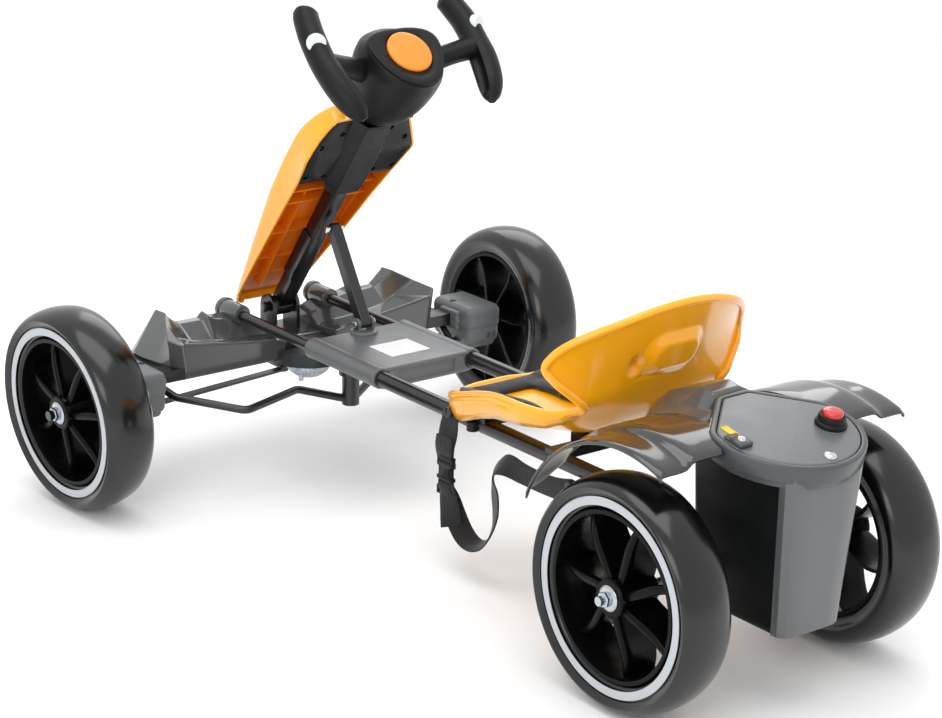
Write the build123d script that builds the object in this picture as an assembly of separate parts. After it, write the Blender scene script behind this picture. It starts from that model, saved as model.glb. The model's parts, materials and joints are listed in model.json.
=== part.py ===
"""Child's folding electric kart: four moulded wheels, two steel rails, a folding steering
column with its strut, a bucket seat and a battery box between two rear fenders.

Millimetres. +X points forward, +Y to the driver's left and +Z up. The origin is on the
ground below the middle of the kart's length. The kart stands on its wheels, steered
straight ahead, with the column up and the box lid shut.
"""
from build123d import *
import math
import os

# ---------------------------------------------------------------- driving dimensions
WHEELBASE = 800.0            # rear axle to front axle
FRONT_TRACK = 664.0          # between the middles of the front tyres
REAR_TRACK = 304.0           # between the middles of the rear tyres
TYRE_RADIUS = 125.0
TYRE_WIDTH = 76.0
TYRE_SHOULDER = 29.0         # radius of the rounded shoulders

FRONT_CAMBER = 3.4           # degrees, tops of the front wheels leaning out
FRONT_TOE_OUT = 3.0          # degrees, front edges pointing out

RIM_RADIUS = 91.0            # where the tyre sits on the rim
RIM_WALL = 5.0
RIM_WIDTH = 64.0
HUB_RADIUS = 17.0
HUB_LENGTH = 56.0
SPOKES = 7
SPOKE_WIDTH = 11.0
SPOKE_DEPTH = 24.0
SPOKE_SWEEP = 38.0           # degrees that a spoke turns between hub and rim
AXLE_RADIUS = 6.0
AXLE_CLEARANCE = 0.05        # running fit between an axle and a hub
AXLE_END = 12.0              # how far an axle stands out of its hub
AXLE_TIP_RADIUS = 5.0        # and the radius of that end

RAIL_HALF_SPACING = 68.0     # middle of the kart to the middle of a rail
RAIL_HEIGHT = 185.0
REAR_RAIL_RADIUS = 9.5
FRONT_RAIL_RADIUS = 6.5
RAIL_REAR_X = 60.0           # all lengths along the kart are from the rear axle
RAIL_FRONT_X = WHEELBASE + 68.0

DECK_REAR_X = WHEELBASE - 260.0
DECK_FRONT_X = WHEELBASE - 116.0
DECK_TOP = 196.0
DECK_THICKNESS = 26.0
SLEEVE_RADIUS = 12.5
DECK_END_HALF_WIDTH = 42.0    # shallow recess in the deck's rear end
DECK_END_DEPTH = 3.0
DECK_END_LIP = 6.0
DECK_LUG_WIDTH = 9.0         # lugs on the deck that hold the strut's foot pin
DECK_LUG_RADIUS = 10.0
DECK_LUG_GAP = 1.5
DECK_LUG_SLACK = 0.5         # round the pin, and above and below it in the open slot
DECK_LUG_SLOT_SLACK = 1.2

BEAM_DEPTH = 25.0            # flat tube of the front axle, along the kart
BEAM_TALL = 15.0
BEAM_WALL = 2.0
BEAM_HEIGHT = 144.5
KINGPIN_Y = FRONT_TRACK / 2 - 74.0
KINGPIN_RADIUS = 5.0
KINGPIN_CLEARANCE = 0.05
BUSH_RADIUS = 10.0
BUSH_BOTTOM = 124.0
BUSH_TOP = 154.0
YOKE_PLATE = 4.0
YOKE_GAP = 1.0
YOKE_HALF_LENGTH = 11.0
YOKE_REACH = 9.0             # how far the yoke reaches inside the kingpin
STEERING_ARM_HALF_WIDTH = 7.0
PIN_DROP = 6.0               # how far the tie bar's pin stands below the arm or the crank

COVER_BEHIND = 45.0          # knuckle cover, behind and ahead of the front axle
COVER_AHEAD = 38.0
COVER_WIDTH = 56.0
COVER_BOTTOM = 106.0
COVER_TOP = 164.0
COVER_WALL = 2.5
COVER_ROUNDING = 10.0
COVER_INNER_Y = KINGPIN_Y - 28.0
COVER_SLOT_HALF_LENGTH = 23.0           # slot in its outer wall, where the stub axle swings
COVER_SLOT_HEIGHTS = (113.0, 135.0)
ARM_X = WHEELBASE - 22.0                # tie bar's joint on the knuckle's steering arm
ARM_Y = KINGPIN_Y
CRANK_SHAFT_X = WHEELBASE + 53.0        # lower steering shaft, below the column's pivot
CRANK_X = WHEELBASE + 29.0              # tie bars' joints on the steering crank
CRANK_Y = 15.0
CRANK_HEIGHT = 110.4         # underside of the crank
CRANK_THICKNESS = 3.0
CRANK_SHAFT_RADIUS = 8.0
CRANK_SHAFT_TOP = 146.0
CRANK_EDGE = 7.0             # from the tie bars' pins to the crank's edge
BAR_WIDTH = 12.0
BAR_THICKNESS = 4.0
BAR_GAP = 0.4                # between a tie bar and the arm over it
BAR_DRIFT = 1.6              # play of the crank's pins in the tie bars

COLUMN_PIVOT_X = WHEELBASE + 58.0
COLUMN_PIVOT_Z = 185.0
COLUMN_ANGLE = 55.0          # column above the ground, leaning back
COLUMN_RADIUS = 13.0
COLUMN_LENGTH = 352.0        # pivot to the foot of the steering hub
HUB_GAP = 1.0
STRUT_PIVOT_ALONG = 175.0    # pivot to the strut's bolt, along the column
STRUT_PIVOT_BELOW = 25.0     # and square to it
STRUT_FOOT_X = WHEELBASE - 128.0
STRUT_FOOT_Z = 208.0
STRUT_WIDTH = 20.0
STRUT_DEPTH = 16.0
STRUT_WALL = 2.0
STRUT_END_OPEN = 13.0        # the strut's back is open this far from its pins
STRUT_PIN_OVERHANG = 10.0    # foot pin beyond the strut's sides
PIN_RADIUS = 3.0
LUG_WIDTH = 8.0              # steel lug under the column for the strut
LUG_LENGTH = 20.0
LUG_EYE_RADIUS = 8.0
COLUMN_CORNER = 4.0
COLUMN_WALL = 2.0
EYE_RADIUS = 15.0

PIVOT_PIN_RADIUS = 5.0
PIN_CLEARANCE = 0.05
FAIRING_WALL = 3.0
FAIRING_LOW = -22.0          # fairing's ends, along the column from its pivot
FAIRING_TOP = 350.0
FAIRING_FRONT = 42.0         # fairing's front face, ahead of the column's middle line
FAIRING_RIM_LOW = 32.0       # rear rim at the fairing's foot, ahead of that line
FAIRING_TILT = 7.0           # degrees between the rear rim and the column
FAIRING_SHOULDER = 56.0      # from the fairing's widest place to its crown
FAIRING_FOOT_HALF = 47.0
FAIRING_WIDE_HALF = 73.0
FAIRING_CROWN_HALF = 55.0
FIT_GAP = 0.3                # between mouldings that close on each other
GRIP_RADIUS = 14.5
GRIP_SPREAD = 111.0          # column's middle line to the middle of a grip
HUB_HEIGHT = 111.0           # steering hub, from its foot to its flat top on the column's line
HUB_TILT = 5.7               # degrees that the flat top faces the driver
HUB_HALF_WIDTH = 49.5        # of the flat top
HUB_HALF_DEPTH = 42.0
HUB_TOP_BACK = 12.5          # middle of the flat top, behind the column's middle line
HUB_TOP_THICKNESS = 6.0
HUB_CORNER_RADIUS = 30.0
BUTTON_RADIUS = 28.0
BUTTON_BACK = 7.0            # middle of the horn button, behind that line
BUTTON_THICKNESS = 5.0
HUB_SECTIONS = [(0, 21), (28, 42), (74, 53)]    # the bowl under it: height over the foot, radius
HUB_CORNER_SHARE = 0.96      # how near to round the bowl's sections are
SPOKE_HEIGHT = 74.0          # over the hub's foot, where a spoke leaves it
SPOKE_START = 40.0           # and how far from the column's line
SPOKE_BAR_RADIUS = 11.0
POST_X = WHEELBASE - 101.0

BRACE_RADIUS = 5.0
BRACE_BEND = 14.0
BRACE_PATH = [(-100, 8, 103), (-74, 62, 118), (-94, 150, 113), (-28, 211, 123)]     # x from the front axle
BRACE_WELD = (-2, 219)

SWIVEL_X = WHEELBASE - 7.0             # round housing on the beam, and the cup under it
SWIVEL_RADIUS = 51.0
SWIVEL_BOTTOM = 132.0
SWIVEL_TOP = 149.7
CUP_RADIUS = 28.6
CUP_FOOT_RADIUS = 16.0
CUP_BOTTOM = 107.5
CUP_SHOULDER = 119.0

BRACKET_BASE = 150.0         # underside of the column's bracket
BEARING_RADIUS = 12.0
BEARING_BOTTOM = 118.0
BODY_WALL = 2.5              # moulded front body
BODY_FRONT = WHEELBASE + 92.0
BODY_HOLLOW_REAR = WHEELBASE + 17.0
BODY_HOLLOW_Y = 196.0
BODY_INNER_Y = 39.0
SLEEVE_REAR_X = WHEELBASE + 42.0
FOOT_REACH = 162.0           # rail to knuckle cover, for which the places across the kart are given
FOOT_SECTIONS = {            # at each y: x from the front axle and z of shelf edge, foot, ramp, front edges
    38.0: [(-13, 160), (30, 158), (46, 168), (72, 172), (88, 166), (92, 132)],
    64.0: [(-15, 166), (32, 160), (48, 178), (72, 184), (88, 172), (92, 131)],
    105.0: [(-15, 171), (33, 162), (53, 185), (72, 186), (89, 172), (92, 130)],
    113.0: [(-15, 172), (34, 163), (53, 191), (67, 194), (89, 172), (92, 130)],
    121.0: [(-15, 173), (34, 164), (57, 183), (70, 185), (89, 171), (92, 130)],
    150.0: [(-15, 177), (36, 167), (62, 184), (72, 185), (89, 170), (92, 130)],
    173.0: [(-15, 181), (30, 180), (53, 204), (77, 203), (90, 172), (92, 130)],
    200.0: [(-2, 184), (15, 178), (50, 166), (80, 164), (90, 155), (92, 130)],
    212.0: [(0, 148), (20, 150), (50, 152), (78, 150), (89, 146), (92, 132)],
}

BOX_WALL = 3.0
LID_PITCH = 10.6             # the lid slopes down to the rear
LID_HINGE_X = 16.0
LID_HINGE_Z = 301.0
LID_LENGTH = 148.0
LID_HALF_WIDTH = 78.0
LID_REAR_RADIUS = 80.0
LID_THICKNESS = 3.0
LID_GAP = 1.0
COLLAR_WIDTH = 8.0           # the collar stands out this far round the lid
COLLAR_HEIGHT = 26.0
SWITCH_X = -88.0             # stop switch and lock, on the lid behind its hinge
SWITCH_Y = -50.0
LOCK_X = -138.0
CLIP_X = -77.0
SWITCH_RADIUS = 17.0
SWITCH_HEIGHT = 12.0
BUTTON_FACE_RADIUS = 11.0
BUTTON_HEIGHT = 8.0
LOCK_RADIUS = 7.0
LOCK_HEIGHT = 4.0
CLIP_SIZE = (26.0, 18.0, 6.0)
LID_CORNER_X = -55.0         # where the lid's straight tapers to its hinge begin
LID_NOSE_HALF_WIDTH = 18.0
HINGE_EYE_RADIUS = 3.0
HINGE_PIN_RADIUS = 1.5
HINGE_EYE_HALF_LENGTH = 9.0

FENDER_RADIUS = 162.0        # about the rear axle
FENDER_OUTER_Y = 172.0
FENDER_INNER_Y = 62.0
FENDER_PLAN = [(-61, 62), (-61, 172), (148, 172), (142, 150), (80, 86), (66, 62)]
REAR_COVER_ENDS = [(30, 61, 18, 262, 301), (104, 50, 16, 256, 288)]   # x, half-widths low and high, heights
HANGER_THICKNESS = 6.0
HANGER_OUTLINE = [(-16, 140), (-16, 112), (16, 112)]
HANGER_WELD = 30.0           # along the rail
BATTERY_ALONG = (-98.0, 16.0)
BATTERY_HALF_WIDTH = 36.0
BATTERY_HEIGHTS = (150.0, 236.0)
MOTOR_RADIUS = 19.0
MOTOR_HALF_LENGTH = 32.0
BOX_FRONT = 24.0
BOX_CORNER = 10.0
BOX_FOOT = (84.0, -110.0, 40.0)        # height, rear face and half-width of the battery box
BOX_HEAD = (290.0, -123.0, 54.0)

SEAT_WALL = 4.0
SEAT_PAN = {                 # at each x: bottom, its half-width, rim height, its half-width
    421.0: (196.0, 58.0, 204.0, 70.0),
    365.0: (195.5, 62.0, 223.0, 86.0),
    312.0: (195.5, 64.0, 243.0, 102.0),
    235.0: (204.0, 64.0, 261.0, 121.0),
    165.0: (222.0, 62.0, 264.0, 131.0),
    128.0: (246.0, 56.0, 274.0, 121.0),
}
SEAT_BACK = {                # at each height: middle of the rear face, half-width, its edges' x
    240.0: (142.0, 60.0, 138.0),
    273.0: (129.0, 117.0, 122.0),
    307.0: (119.0, 134.0, 165.0),
    340.0: (106.0, 127.0, 136.0),
    366.0: (95.0, 84.0, 106.0),
    382.0: (88.0, 34.0, 90.0),
}
SEAT_BEARING = 195.5         # underside of the pan on its cross bars
PAD_THICKNESS = 8.0
PAD_WIDTH = 104.0
PAD_REAR_GAP = 14.0          # the pad stops this far ahead of the pan's second station from the rear
PAD_FRONT_GAP = 16.0         # and this far behind its front edge
MOUNT_PLACES = (215.0, 345.0)
MOUNT_HALF_LENGTH = 12.0
MOUNT_HALF_WIDTH = 40.0      # of the raised middle under the pan
MOUNT_OVERHANG = 8.0         # beyond the middle of each rail
MOUNT_LIFT = 2.0             # underside over the middle of the rails

BELT_Y = 79.0                # the lap belt hangs beside the left rail
BELT_THICKNESS = 2.0
BELT_WIDTH = 20.0
BELT_FRONT = [(388, 184), (396, 156), (396, 128)]
BELT_BUCKLE = [(396, 127), (396, 104), (392, 97)]
BELT_REAR = [(388.5, 90.5), (372, 72), (350, 55), (326, 55), (312, 78), (310, 112), (306, 142), (286, 157),
             (250, 158), (205, 158), (172, 166)]

# ---------------------------------------------------------------- worked out from them
def tilted_reach(degrees):
    """How far a tyre reaches from its hub when it is turned out of its plane."""
    angle = math.radians(degrees)
    crown = (TYRE_RADIUS - TYRE_SHOULDER) * math.cos(angle)
    return TYRE_SHOULDER + crown + (TYRE_WIDTH / 2 - TYRE_SHOULDER) * math.sin(angle)


REAR_OVERHANG = (LID_LENGTH + COLLAR_WIDTH) * math.cos(math.radians(LID_PITCH)) - LID_HINGE_X
FRONT_OVERHANG = tilted_reach(FRONT_TOE_OUT)
FRONT_HUB_HEIGHT = tilted_reach(FRONT_CAMBER)
REAR_AXLE_X = (REAR_OVERHANG - WHEELBASE - FRONT_OVERHANG) / 2
LEFT, RIGHT = 1, -1
SIDES = {"left": LEFT, "right": RIGHT}


def along(x):
    """Distance forward of the rear axle, as a place in the part's frame."""
    return REAR_AXLE_X + x


def stretched(y):
    """A place across the kart; beyond the rail it moves with the knuckle cover."""
    if y <= RAIL_HALF_SPACING:
        return y
    return RAIL_HALF_SPACING + (y - RAIL_HALF_SPACING) * (COVER_INNER_Y - RAIL_HALF_SPACING) / FOOT_REACH


def block(x0, x1, y0, y1, z0, z1):
    """A box between two corners, its x measured from the rear axle."""
    size = (x1 - x0, y1 - y0, z1 - z0)
    return Pos(along((x0 + x1) / 2), (y0 + y1) / 2, (z0 + z1) / 2) * Box(*size)


def rod(start, end, radius):
    """A round bar between two points, their x measured from the rear axle."""
    first = Vector(along(start[0]), start[1], start[2])
    last = Vector(along(end[0]), end[1], end[2])
    plane = Plane(origin=first, z_dir=last - first)
    return plane * Cylinder(radius, (last - first).length, align=(Align.CENTER, Align.CENTER, Align.MIN))


def side_plane(y):
    """A plane facing right, its x from the rear axle and its y up."""
    return Plane(origin=(REAR_AXLE_X, y, 0), x_dir=(1, 0, 0), z_dir=(0, -1, 0))


def profile(points, y0, y1):
    """A side outline of straight lines, as thick as the gap between y0 and y1."""
    face = make_face(Polyline(*points, close=True))
    return extrude(side_plane(y0) * face, amount=-(y1 - y0))


def bent_rod(points, radius, bend):
    """A round bar along straight runs with rounded bends, x from the rear axle."""
    path = FilletPolyline(*[(along(x), y, z) for x, y, z in points], radius=bend)
    return sweep(Plane(path @ 0, z_dir=path % 0) * Circle(radius), path=path)


def mirrored(shape, side):
    """The left-hand shape as it is, or its mirror image for the right."""
    return shape if side == LEFT else mirror(shape, about=Plane.XZ)


# ---------------------------------------------------------------- wheels
def wheel_tyre():
    """Moulded tyre about Z, its outer face towards +Z."""
    outer = RectangleRounded(2 * TYRE_RADIUS, TYRE_WIDTH, TYRE_SHOULDER)
    ring = revolve(Plane.XZ * (outer & Pos(TYRE_RADIUS, 0) * Rectangle(2 * TYRE_RADIUS, TYRE_WIDTH)), Axis.Z)
    seat = Cylinder(RIM_RADIUS, TYRE_WIDTH + 2)
    return ring - seat


def spoke_outline(turn):
    """One curved spoke from hub to rim, as a face in XY."""
    inner = HUB_RADIUS - 3
    outer = RIM_RADIUS - RIM_WALL / 2
    lean = math.radians(SPOKE_SWEEP)
    start = (inner, 0)
    end = (outer * math.cos(lean), outer * math.sin(lean))
    middle = (0.62 * outer * math.cos(0.22 * lean), 0.62 * outer * math.sin(0.22 * lean))
    line = ThreePointArc(start, middle, end)
    return Rot(0, 0, turn) * trace(line, SPOKE_WIDTH)


def wheel_rim():
    """Rim with seven curved spokes and its hub, about Z."""
    barrel = Cylinder(RIM_RADIUS, RIM_WIDTH) - Cylinder(RIM_RADIUS - RIM_WALL, RIM_WIDTH + 2)
    hub = Cylinder(HUB_RADIUS, HUB_LENGTH)
    rim = barrel + hub
    for index in range(SPOKES):
        face = spoke_outline(index * 360 / SPOKES)
        spoke = Pos(0, 0, -SPOKE_DEPTH / 2) * extrude(face, amount=SPOKE_DEPTH)
        rim += spoke & Cylinder(RIM_RADIUS - RIM_WALL / 2, RIM_WIDTH)
    return rim - Cylinder(AXLE_RADIUS + AXLE_CLEARANCE, HUB_LENGTH + 2)


def at_rear_wheel(shape, side):
    """Stands a wheel piece upright on the rear axle, its outer face outwards."""
    return Pos(along(0), side * REAR_TRACK / 2, TYRE_RADIUS) * Rot(-90 * side, 0, 0) * shape


def at_front_wheel(shape, side):
    """Puts a wheel piece on a front stub axle, with its camber and toe."""
    hub = Pos(along(WHEELBASE), side * FRONT_TRACK / 2, FRONT_HUB_HEIGHT)
    turn = Rot(0, 0, side * FRONT_TOE_OUT) * Rot(-side * FRONT_CAMBER, 0, 0)
    return hub * turn * Rot(-90 * side, 0, 0) * shape


# ---------------------------------------------------------------- front corner
def knuckle_bottom():
    """Height of the underside of the knuckle's yoke and steering arm."""
    return BUSH_BOTTOM - YOKE_GAP - YOKE_PLATE


def knuckle(side):
    """Steel yoke that turns on the kingpin, with its stub axle and steering arm."""
    top = BUSH_TOP + YOKE_GAP
    bottom = BUSH_BOTTOM - YOKE_GAP
    plate = YOKE_PLATE
    web = KINGPIN_Y + BUSH_RADIUS + 4
    inner = KINGPIN_Y - YOKE_REACH
    arm = STEERING_ARM_HALF_WIDTH
    x0, x1 = WHEELBASE - YOKE_HALF_LENGTH, WHEELBASE + YOKE_HALF_LENGTH
    yoke = block(x0, x1, inner, web + plate, top, top + plate)
    yoke += block(x0, x1, inner, web + plate, bottom - plate, bottom)
    yoke += block(x0, x1, web, web + plate, bottom - plate, top + plate)
    yoke += rod((WHEELBASE, KINGPIN_Y, bottom - plate), (WHEELBASE, KINGPIN_Y, top + plate), KINGPIN_RADIUS)
    yoke += block(ARM_X - arm, WHEELBASE, ARM_Y - arm, KINGPIN_Y + arm, bottom - plate, bottom)
    yoke += rod((ARM_X, ARM_Y, bottom - plate - PIN_DROP), (ARM_X, ARM_Y, bottom), PIN_RADIUS)
    inside = FRONT_TRACK / 2 - web - plate / 2
    outside = HUB_LENGTH / 2 + AXLE_END
    stub = Pos(0, 0, (outside - inside) / 2) * Cylinder(AXLE_RADIUS, inside + outside)
    return mirrored(yoke, side) + at_front_wheel(stub, side)


def round_top(solid, radius):
    """Rounds a block's upright edges and the edges of its top."""
    return fillet(solid.edges().filter_by(Axis.Z) + solid.faces().sort_by(Axis.Z)[-1].edges(), radius)


def knuckle_cover(side):
    """Moulded cover on the beam's end, open below and where the tie rod and the stub axle pass."""
    x0, x1 = WHEELBASE - COVER_BEHIND, WHEELBASE + COVER_AHEAD
    y0, y1 = COVER_INNER_Y, COVER_INNER_Y + COVER_WIDTH
    outer = block(x0, x1, y0, y1, COVER_BOTTOM, COVER_TOP)
    outer = round_top(outer, COVER_ROUNDING)
    inner = block(x0 + COVER_WALL, x1 - COVER_WALL, y0 + COVER_WALL, y1 - COVER_WALL,
                  COVER_BOTTOM - 1, COVER_TOP - COVER_WALL)
    inner = round_top(inner, COVER_ROUNDING - COVER_WALL)
    cover = outer - inner
    tall, deep = BEAM_TALL / 2 + FIT_GAP, BEAM_DEPTH / 2 + FIT_GAP
    through = COVER_ROUNDING + COVER_WALL
    low, high = BEAM_HEIGHT - tall, BEAM_HEIGHT + tall
    beam = block(WHEELBASE - deep, WHEELBASE + deep, y0 - 1, y0 + through, low, high)
    rod_slot = block(x0 + COVER_ROUNDING, WHEELBASE, y0 - 1, y0 + through, COVER_BOTTOM - 1, BEAM_HEIGHT)
    reach = COVER_SLOT_HALF_LENGTH
    axle_slot = block(WHEELBASE - reach, WHEELBASE + reach, y1 - COVER_ROUNDING, y1 + 1, *COVER_SLOT_HEIGHTS)
    return mirrored(cover - beam - rod_slot - axle_slot, side)


def tie_bar(side):
    """Flat steering bar from the knuckle's arm to the steering crank."""
    drop = BAR_GAP + BAR_THICKNESS / 2
    at_arm = Vector(along(ARM_X), ARM_Y, knuckle_bottom() - drop)
    at_crank = Vector(along(CRANK_X), CRANK_Y, CRANK_HEIGHT - drop)
    ends = [at_arm, at_crank]
    run = at_crank - at_arm
    across = Vector(0, 0, 1).cross(run)
    flat = Plane(origin=ends[0], x_dir=run, z_dir=run.cross(across))
    shape = flat * Pos(run.length / 2, 0, 0) * Box(run.length, BAR_WIDTH, BAR_THICKNESS - 1)
    for end, clearance in zip(ends, (PIN_CLEARANCE, BAR_DRIFT)):
        shape += Pos(*end) * Cylinder(BAR_WIDTH / 2 + 1, BAR_THICKNESS)
        shape -= Pos(*end) * Cylinder(PIN_RADIUS + clearance, 2 * BAR_THICKNESS)
    return mirrored(shape, side)


def steering_crank():
    """Lower steering shaft with the crank that both tie bars hang from."""
    top = CRANK_HEIGHT + CRANK_THICKNESS
    edge = CRANK_Y + CRANK_EDGE
    low = CRANK_HEIGHT - PIN_DROP
    crank = rod((CRANK_SHAFT_X, 0, low), (CRANK_SHAFT_X, 0, CRANK_SHAFT_TOP), CRANK_SHAFT_RADIUS)
    crank += block(CRANK_X - CRANK_EDGE - 1, CRANK_SHAFT_X, -edge, edge, CRANK_HEIGHT, top)
    for y in (-CRANK_Y, CRANK_Y):
        crank += rod((CRANK_X, y, low), (CRANK_X, y, top), PIN_RADIUS)
    return crank


# ---------------------------------------------------------------- frame
def rail(side):
    """Side rail: thick behind the deck box and thin in front of it."""
    y = side * RAIL_HALF_SPACING
    middle = (DECK_REAR_X + DECK_FRONT_X) / 2
    thick = rod((RAIL_REAR_X, y, RAIL_HEIGHT), (middle, y, RAIL_HEIGHT), REAR_RAIL_RADIUS)
    thin = rod((middle, y, RAIL_HEIGHT), (RAIL_FRONT_X, y, RAIL_HEIGHT), FRONT_RAIL_RADIUS)
    return thick + thin


def deck_box():
    """Flat moulded box between the rails, its sleeves round them."""
    bottom = DECK_TOP - DECK_THICKNESS
    middle = (DECK_REAR_X + DECK_FRONT_X) / 2
    box = block(DECK_REAR_X, DECK_FRONT_X, -RAIL_HALF_SPACING, RAIL_HALF_SPACING, bottom, DECK_TOP)
    box -= block(DECK_REAR_X - 1, DECK_REAR_X + DECK_END_DEPTH, -DECK_END_HALF_WIDTH, DECK_END_HALF_WIDTH,
                 bottom + DECK_END_LIP, DECK_TOP - DECK_END_LIP)
    for side in SIDES.values():
        y = side * RAIL_HALF_SPACING
        box += rod((DECK_REAR_X, y, RAIL_HEIGHT), (DECK_FRONT_X, y, RAIL_HEIGHT), SLEEVE_RADIUS)
        box -= rod((DECK_REAR_X - 1, y, RAIL_HEIGHT), (middle, y, RAIL_HEIGHT), REAR_RAIL_RADIUS)
        box -= rod((middle, y, RAIL_HEIGHT), (DECK_FRONT_X + 1, y, RAIL_HEIGHT), FRONT_RAIL_RADIUS)
    return box + strut_lugs()


def strut_lugs():
    """Two lugs on the deck; the strut's pin slides out of their slots to the rear."""
    x, z, round_off = STRUT_FOOT_X, STRUT_FOOT_Z, DECK_LUG_RADIUS
    slot = PIN_RADIUS + DECK_LUG_SLOT_SLACK
    lugs = []
    for side in SIDES.values():
        y0 = side * (STRUT_WIDTH / 2 + DECK_LUG_GAP)
        y1 = side * (STRUT_WIDTH / 2 + DECK_LUG_GAP + DECK_LUG_WIDTH)
        low, high = min(y0, y1), max(y0, y1)
        lug = rod((x, y0, z), (x, y1, z), round_off)
        lug += block(x - round_off, x + round_off, low, high, DECK_TOP - 1, z)
        lug -= rod((x, y0, z), (x, y1, z), PIN_RADIUS + DECK_LUG_SLACK)
        lug -= block(x - round_off - 1, x, low, high, z - slot, z + slot)
        lugs.append(lug)
    return lugs[0] + lugs[1]


def axle_beam():
    """Flat front axle tube with a kingpin bush at each end."""
    deep, tall = BEAM_DEPTH / 2, BEAM_TALL / 2
    end = KINGPIN_Y - BUSH_RADIUS + 1

    def tube(inset, reach):
        return block(WHEELBASE - deep + inset, WHEELBASE + deep - inset, -reach, reach,
                     BEAM_HEIGHT - tall + inset, BEAM_HEIGHT + tall - inset)
    beam = tube(0, end) - tube(BEAM_WALL, end + 1)
    for side in SIDES.values():
        y = side * KINGPIN_Y
        beam += rod((WHEELBASE, y, BUSH_BOTTOM), (WHEELBASE, y, BUSH_TOP), BUSH_RADIUS)
        bore = KINGPIN_RADIUS + KINGPIN_CLEARANCE
        beam -= rod((WHEELBASE, y, BUSH_BOTTOM - 1), (WHEELBASE, y, BUSH_TOP + 1), bore)
    return beam


# ---------------------------------------------------------------- front body
def front_body():
    """Moulded body over the beam: rear skirt, shelf, foot rests with a ridge, side guards and sleeves."""
    bottom = BEAM_HEIGHT - BEAM_TALL / 2
    rear = WHEELBASE - BEAM_DEPTH / 2 - FIT_GAP - BODY_WALL
    deep = BEAM_DEPTH / 2 + FIT_GAP
    channel_top = BEAM_HEIGHT + BEAM_TALL / 2 + FIT_GAP
    rail_room = FRONT_RAIL_RADIUS
    body = block(BODY_HOLLOW_REAR, BODY_FRONT, -BODY_INNER_Y, BODY_INNER_Y, bottom - 6, BRACKET_BASE)
    for side in SIDES.values():
        faces = []
        for y, outline in FOOT_SECTIONS.items():
            points = [(rear + BODY_WALL / 2 * (y > 180), bottom)]
            points += [(WHEELBASE + x, z) for x, z in outline]
            faces.append(side_plane(side * stretched(y)) * make_face(Polyline(*points, close=True)))
        body += loft(faces, ruled=True)
        y = side * RAIL_HALF_SPACING
        body += rod((SLEEVE_REAR_X, y, RAIL_HEIGHT), (RAIL_FRONT_X + 14, y, RAIL_HEIGHT), SLEEVE_RADIUS + 0.5)
        body -= rod((rear - 1, y, RAIL_HEIGHT), (RAIL_FRONT_X, y, RAIL_HEIGHT), rail_room)
    reach = stretched(max(FOOT_SECTIONS)) + 1
    body -= block(WHEELBASE - deep, WHEELBASE + deep, -reach, reach, bottom - 20, channel_top)
    hollow = stretched(BODY_HOLLOW_Y)
    body -= block(BODY_HOLLOW_REAR, BODY_FRONT - 6, -hollow, hollow, bottom - 20, BRACKET_BASE - 4)
    drum = rod((SWIVEL_X, 0, SWIVEL_BOTTOM - 1), (SWIVEL_X, 0, SWIVEL_TOP + FIT_GAP), SWIVEL_RADIUS + FIT_GAP)
    bearing = rod((CRANK_SHAFT_X, 0, 0), (CRANK_SHAFT_X, 0, BRACKET_BASE), BEARING_RADIUS + FIT_GAP)
    return body - drum - bearing


def column_bracket():
    """Steel clevis that carries the column's fold pin, with the lower shaft's bearing under it."""
    bottom = BRACKET_BASE
    bracket = block(CRANK_X - 5, COLUMN_PIVOT_X + 26, -20, 20, bottom, bottom + 4)
    ear_inner = COLUMN_RADIUS + 2
    ear_outer = COLUMN_RADIUS + 7
    for side in SIDES.values():
        y0, y1 = sorted((side * ear_inner, side * ear_outer))
        bracket += block(COLUMN_PIVOT_X - 16, COLUMN_PIVOT_X + 16, y0, y1, bottom, COLUMN_PIVOT_Z)
        bracket += rod((COLUMN_PIVOT_X, y0, COLUMN_PIVOT_Z), (COLUMN_PIVOT_X, y1, COLUMN_PIVOT_Z), 16)
    pin_end = ear_outer + 3
    x, z = COLUMN_PIVOT_X, COLUMN_PIVOT_Z
    pin = rod((x, -pin_end, z), (x, pin_end, z), PIVOT_PIN_RADIUS)
    bearing = rod((CRANK_SHAFT_X, 0, BEARING_BOTTOM), (CRANK_SHAFT_X, 0, bottom), BEARING_RADIUS)
    bearing -= rod((CRANK_SHAFT_X, 0, BEARING_BOTTOM - 1), (CRANK_SHAFT_X, 0, bottom + 1),
                   CRANK_SHAFT_RADIUS + PIN_CLEARANCE)
    return bracket + pin + bearing


def swivel_housing():
    """Round housing round the middle of the beam."""
    deep, tall = BEAM_DEPTH / 2 + FIT_GAP, BEAM_TALL / 2 + FIT_GAP
    housing = rod((SWIVEL_X, 0, SWIVEL_BOTTOM), (SWIVEL_X, 0, SWIVEL_TOP), SWIVEL_RADIUS)
    housing -= block(WHEELBASE - deep, WHEELBASE + deep, -SWIVEL_RADIUS, SWIVEL_RADIUS, BEAM_HEIGHT - tall,
                     BEAM_HEIGHT + tall)
    x = CRANK_SHAFT_X
    bearing = rod((x, 0, BEARING_BOTTOM), (x, 0, BRACKET_BASE), BEARING_RADIUS + FIT_GAP)
    return housing - bearing


def swivel_disc():
    """Ribbed zinc-plated cup under the housing."""
    cup_top = Pos(along(SWIVEL_X), 0, (CUP_SHOULDER + SWIVEL_BOTTOM) / 2)
    cup_foot = Pos(along(SWIVEL_X), 0, (CUP_BOTTOM + CUP_SHOULDER) / 2)
    cup = cup_top * Cylinder(CUP_RADIUS, SWIVEL_BOTTOM - CUP_SHOULDER)
    return cup + cup_foot * Cone(CUP_FOOT_RADIUS, CUP_RADIUS, CUP_SHOULDER - CUP_BOTTOM)


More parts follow.
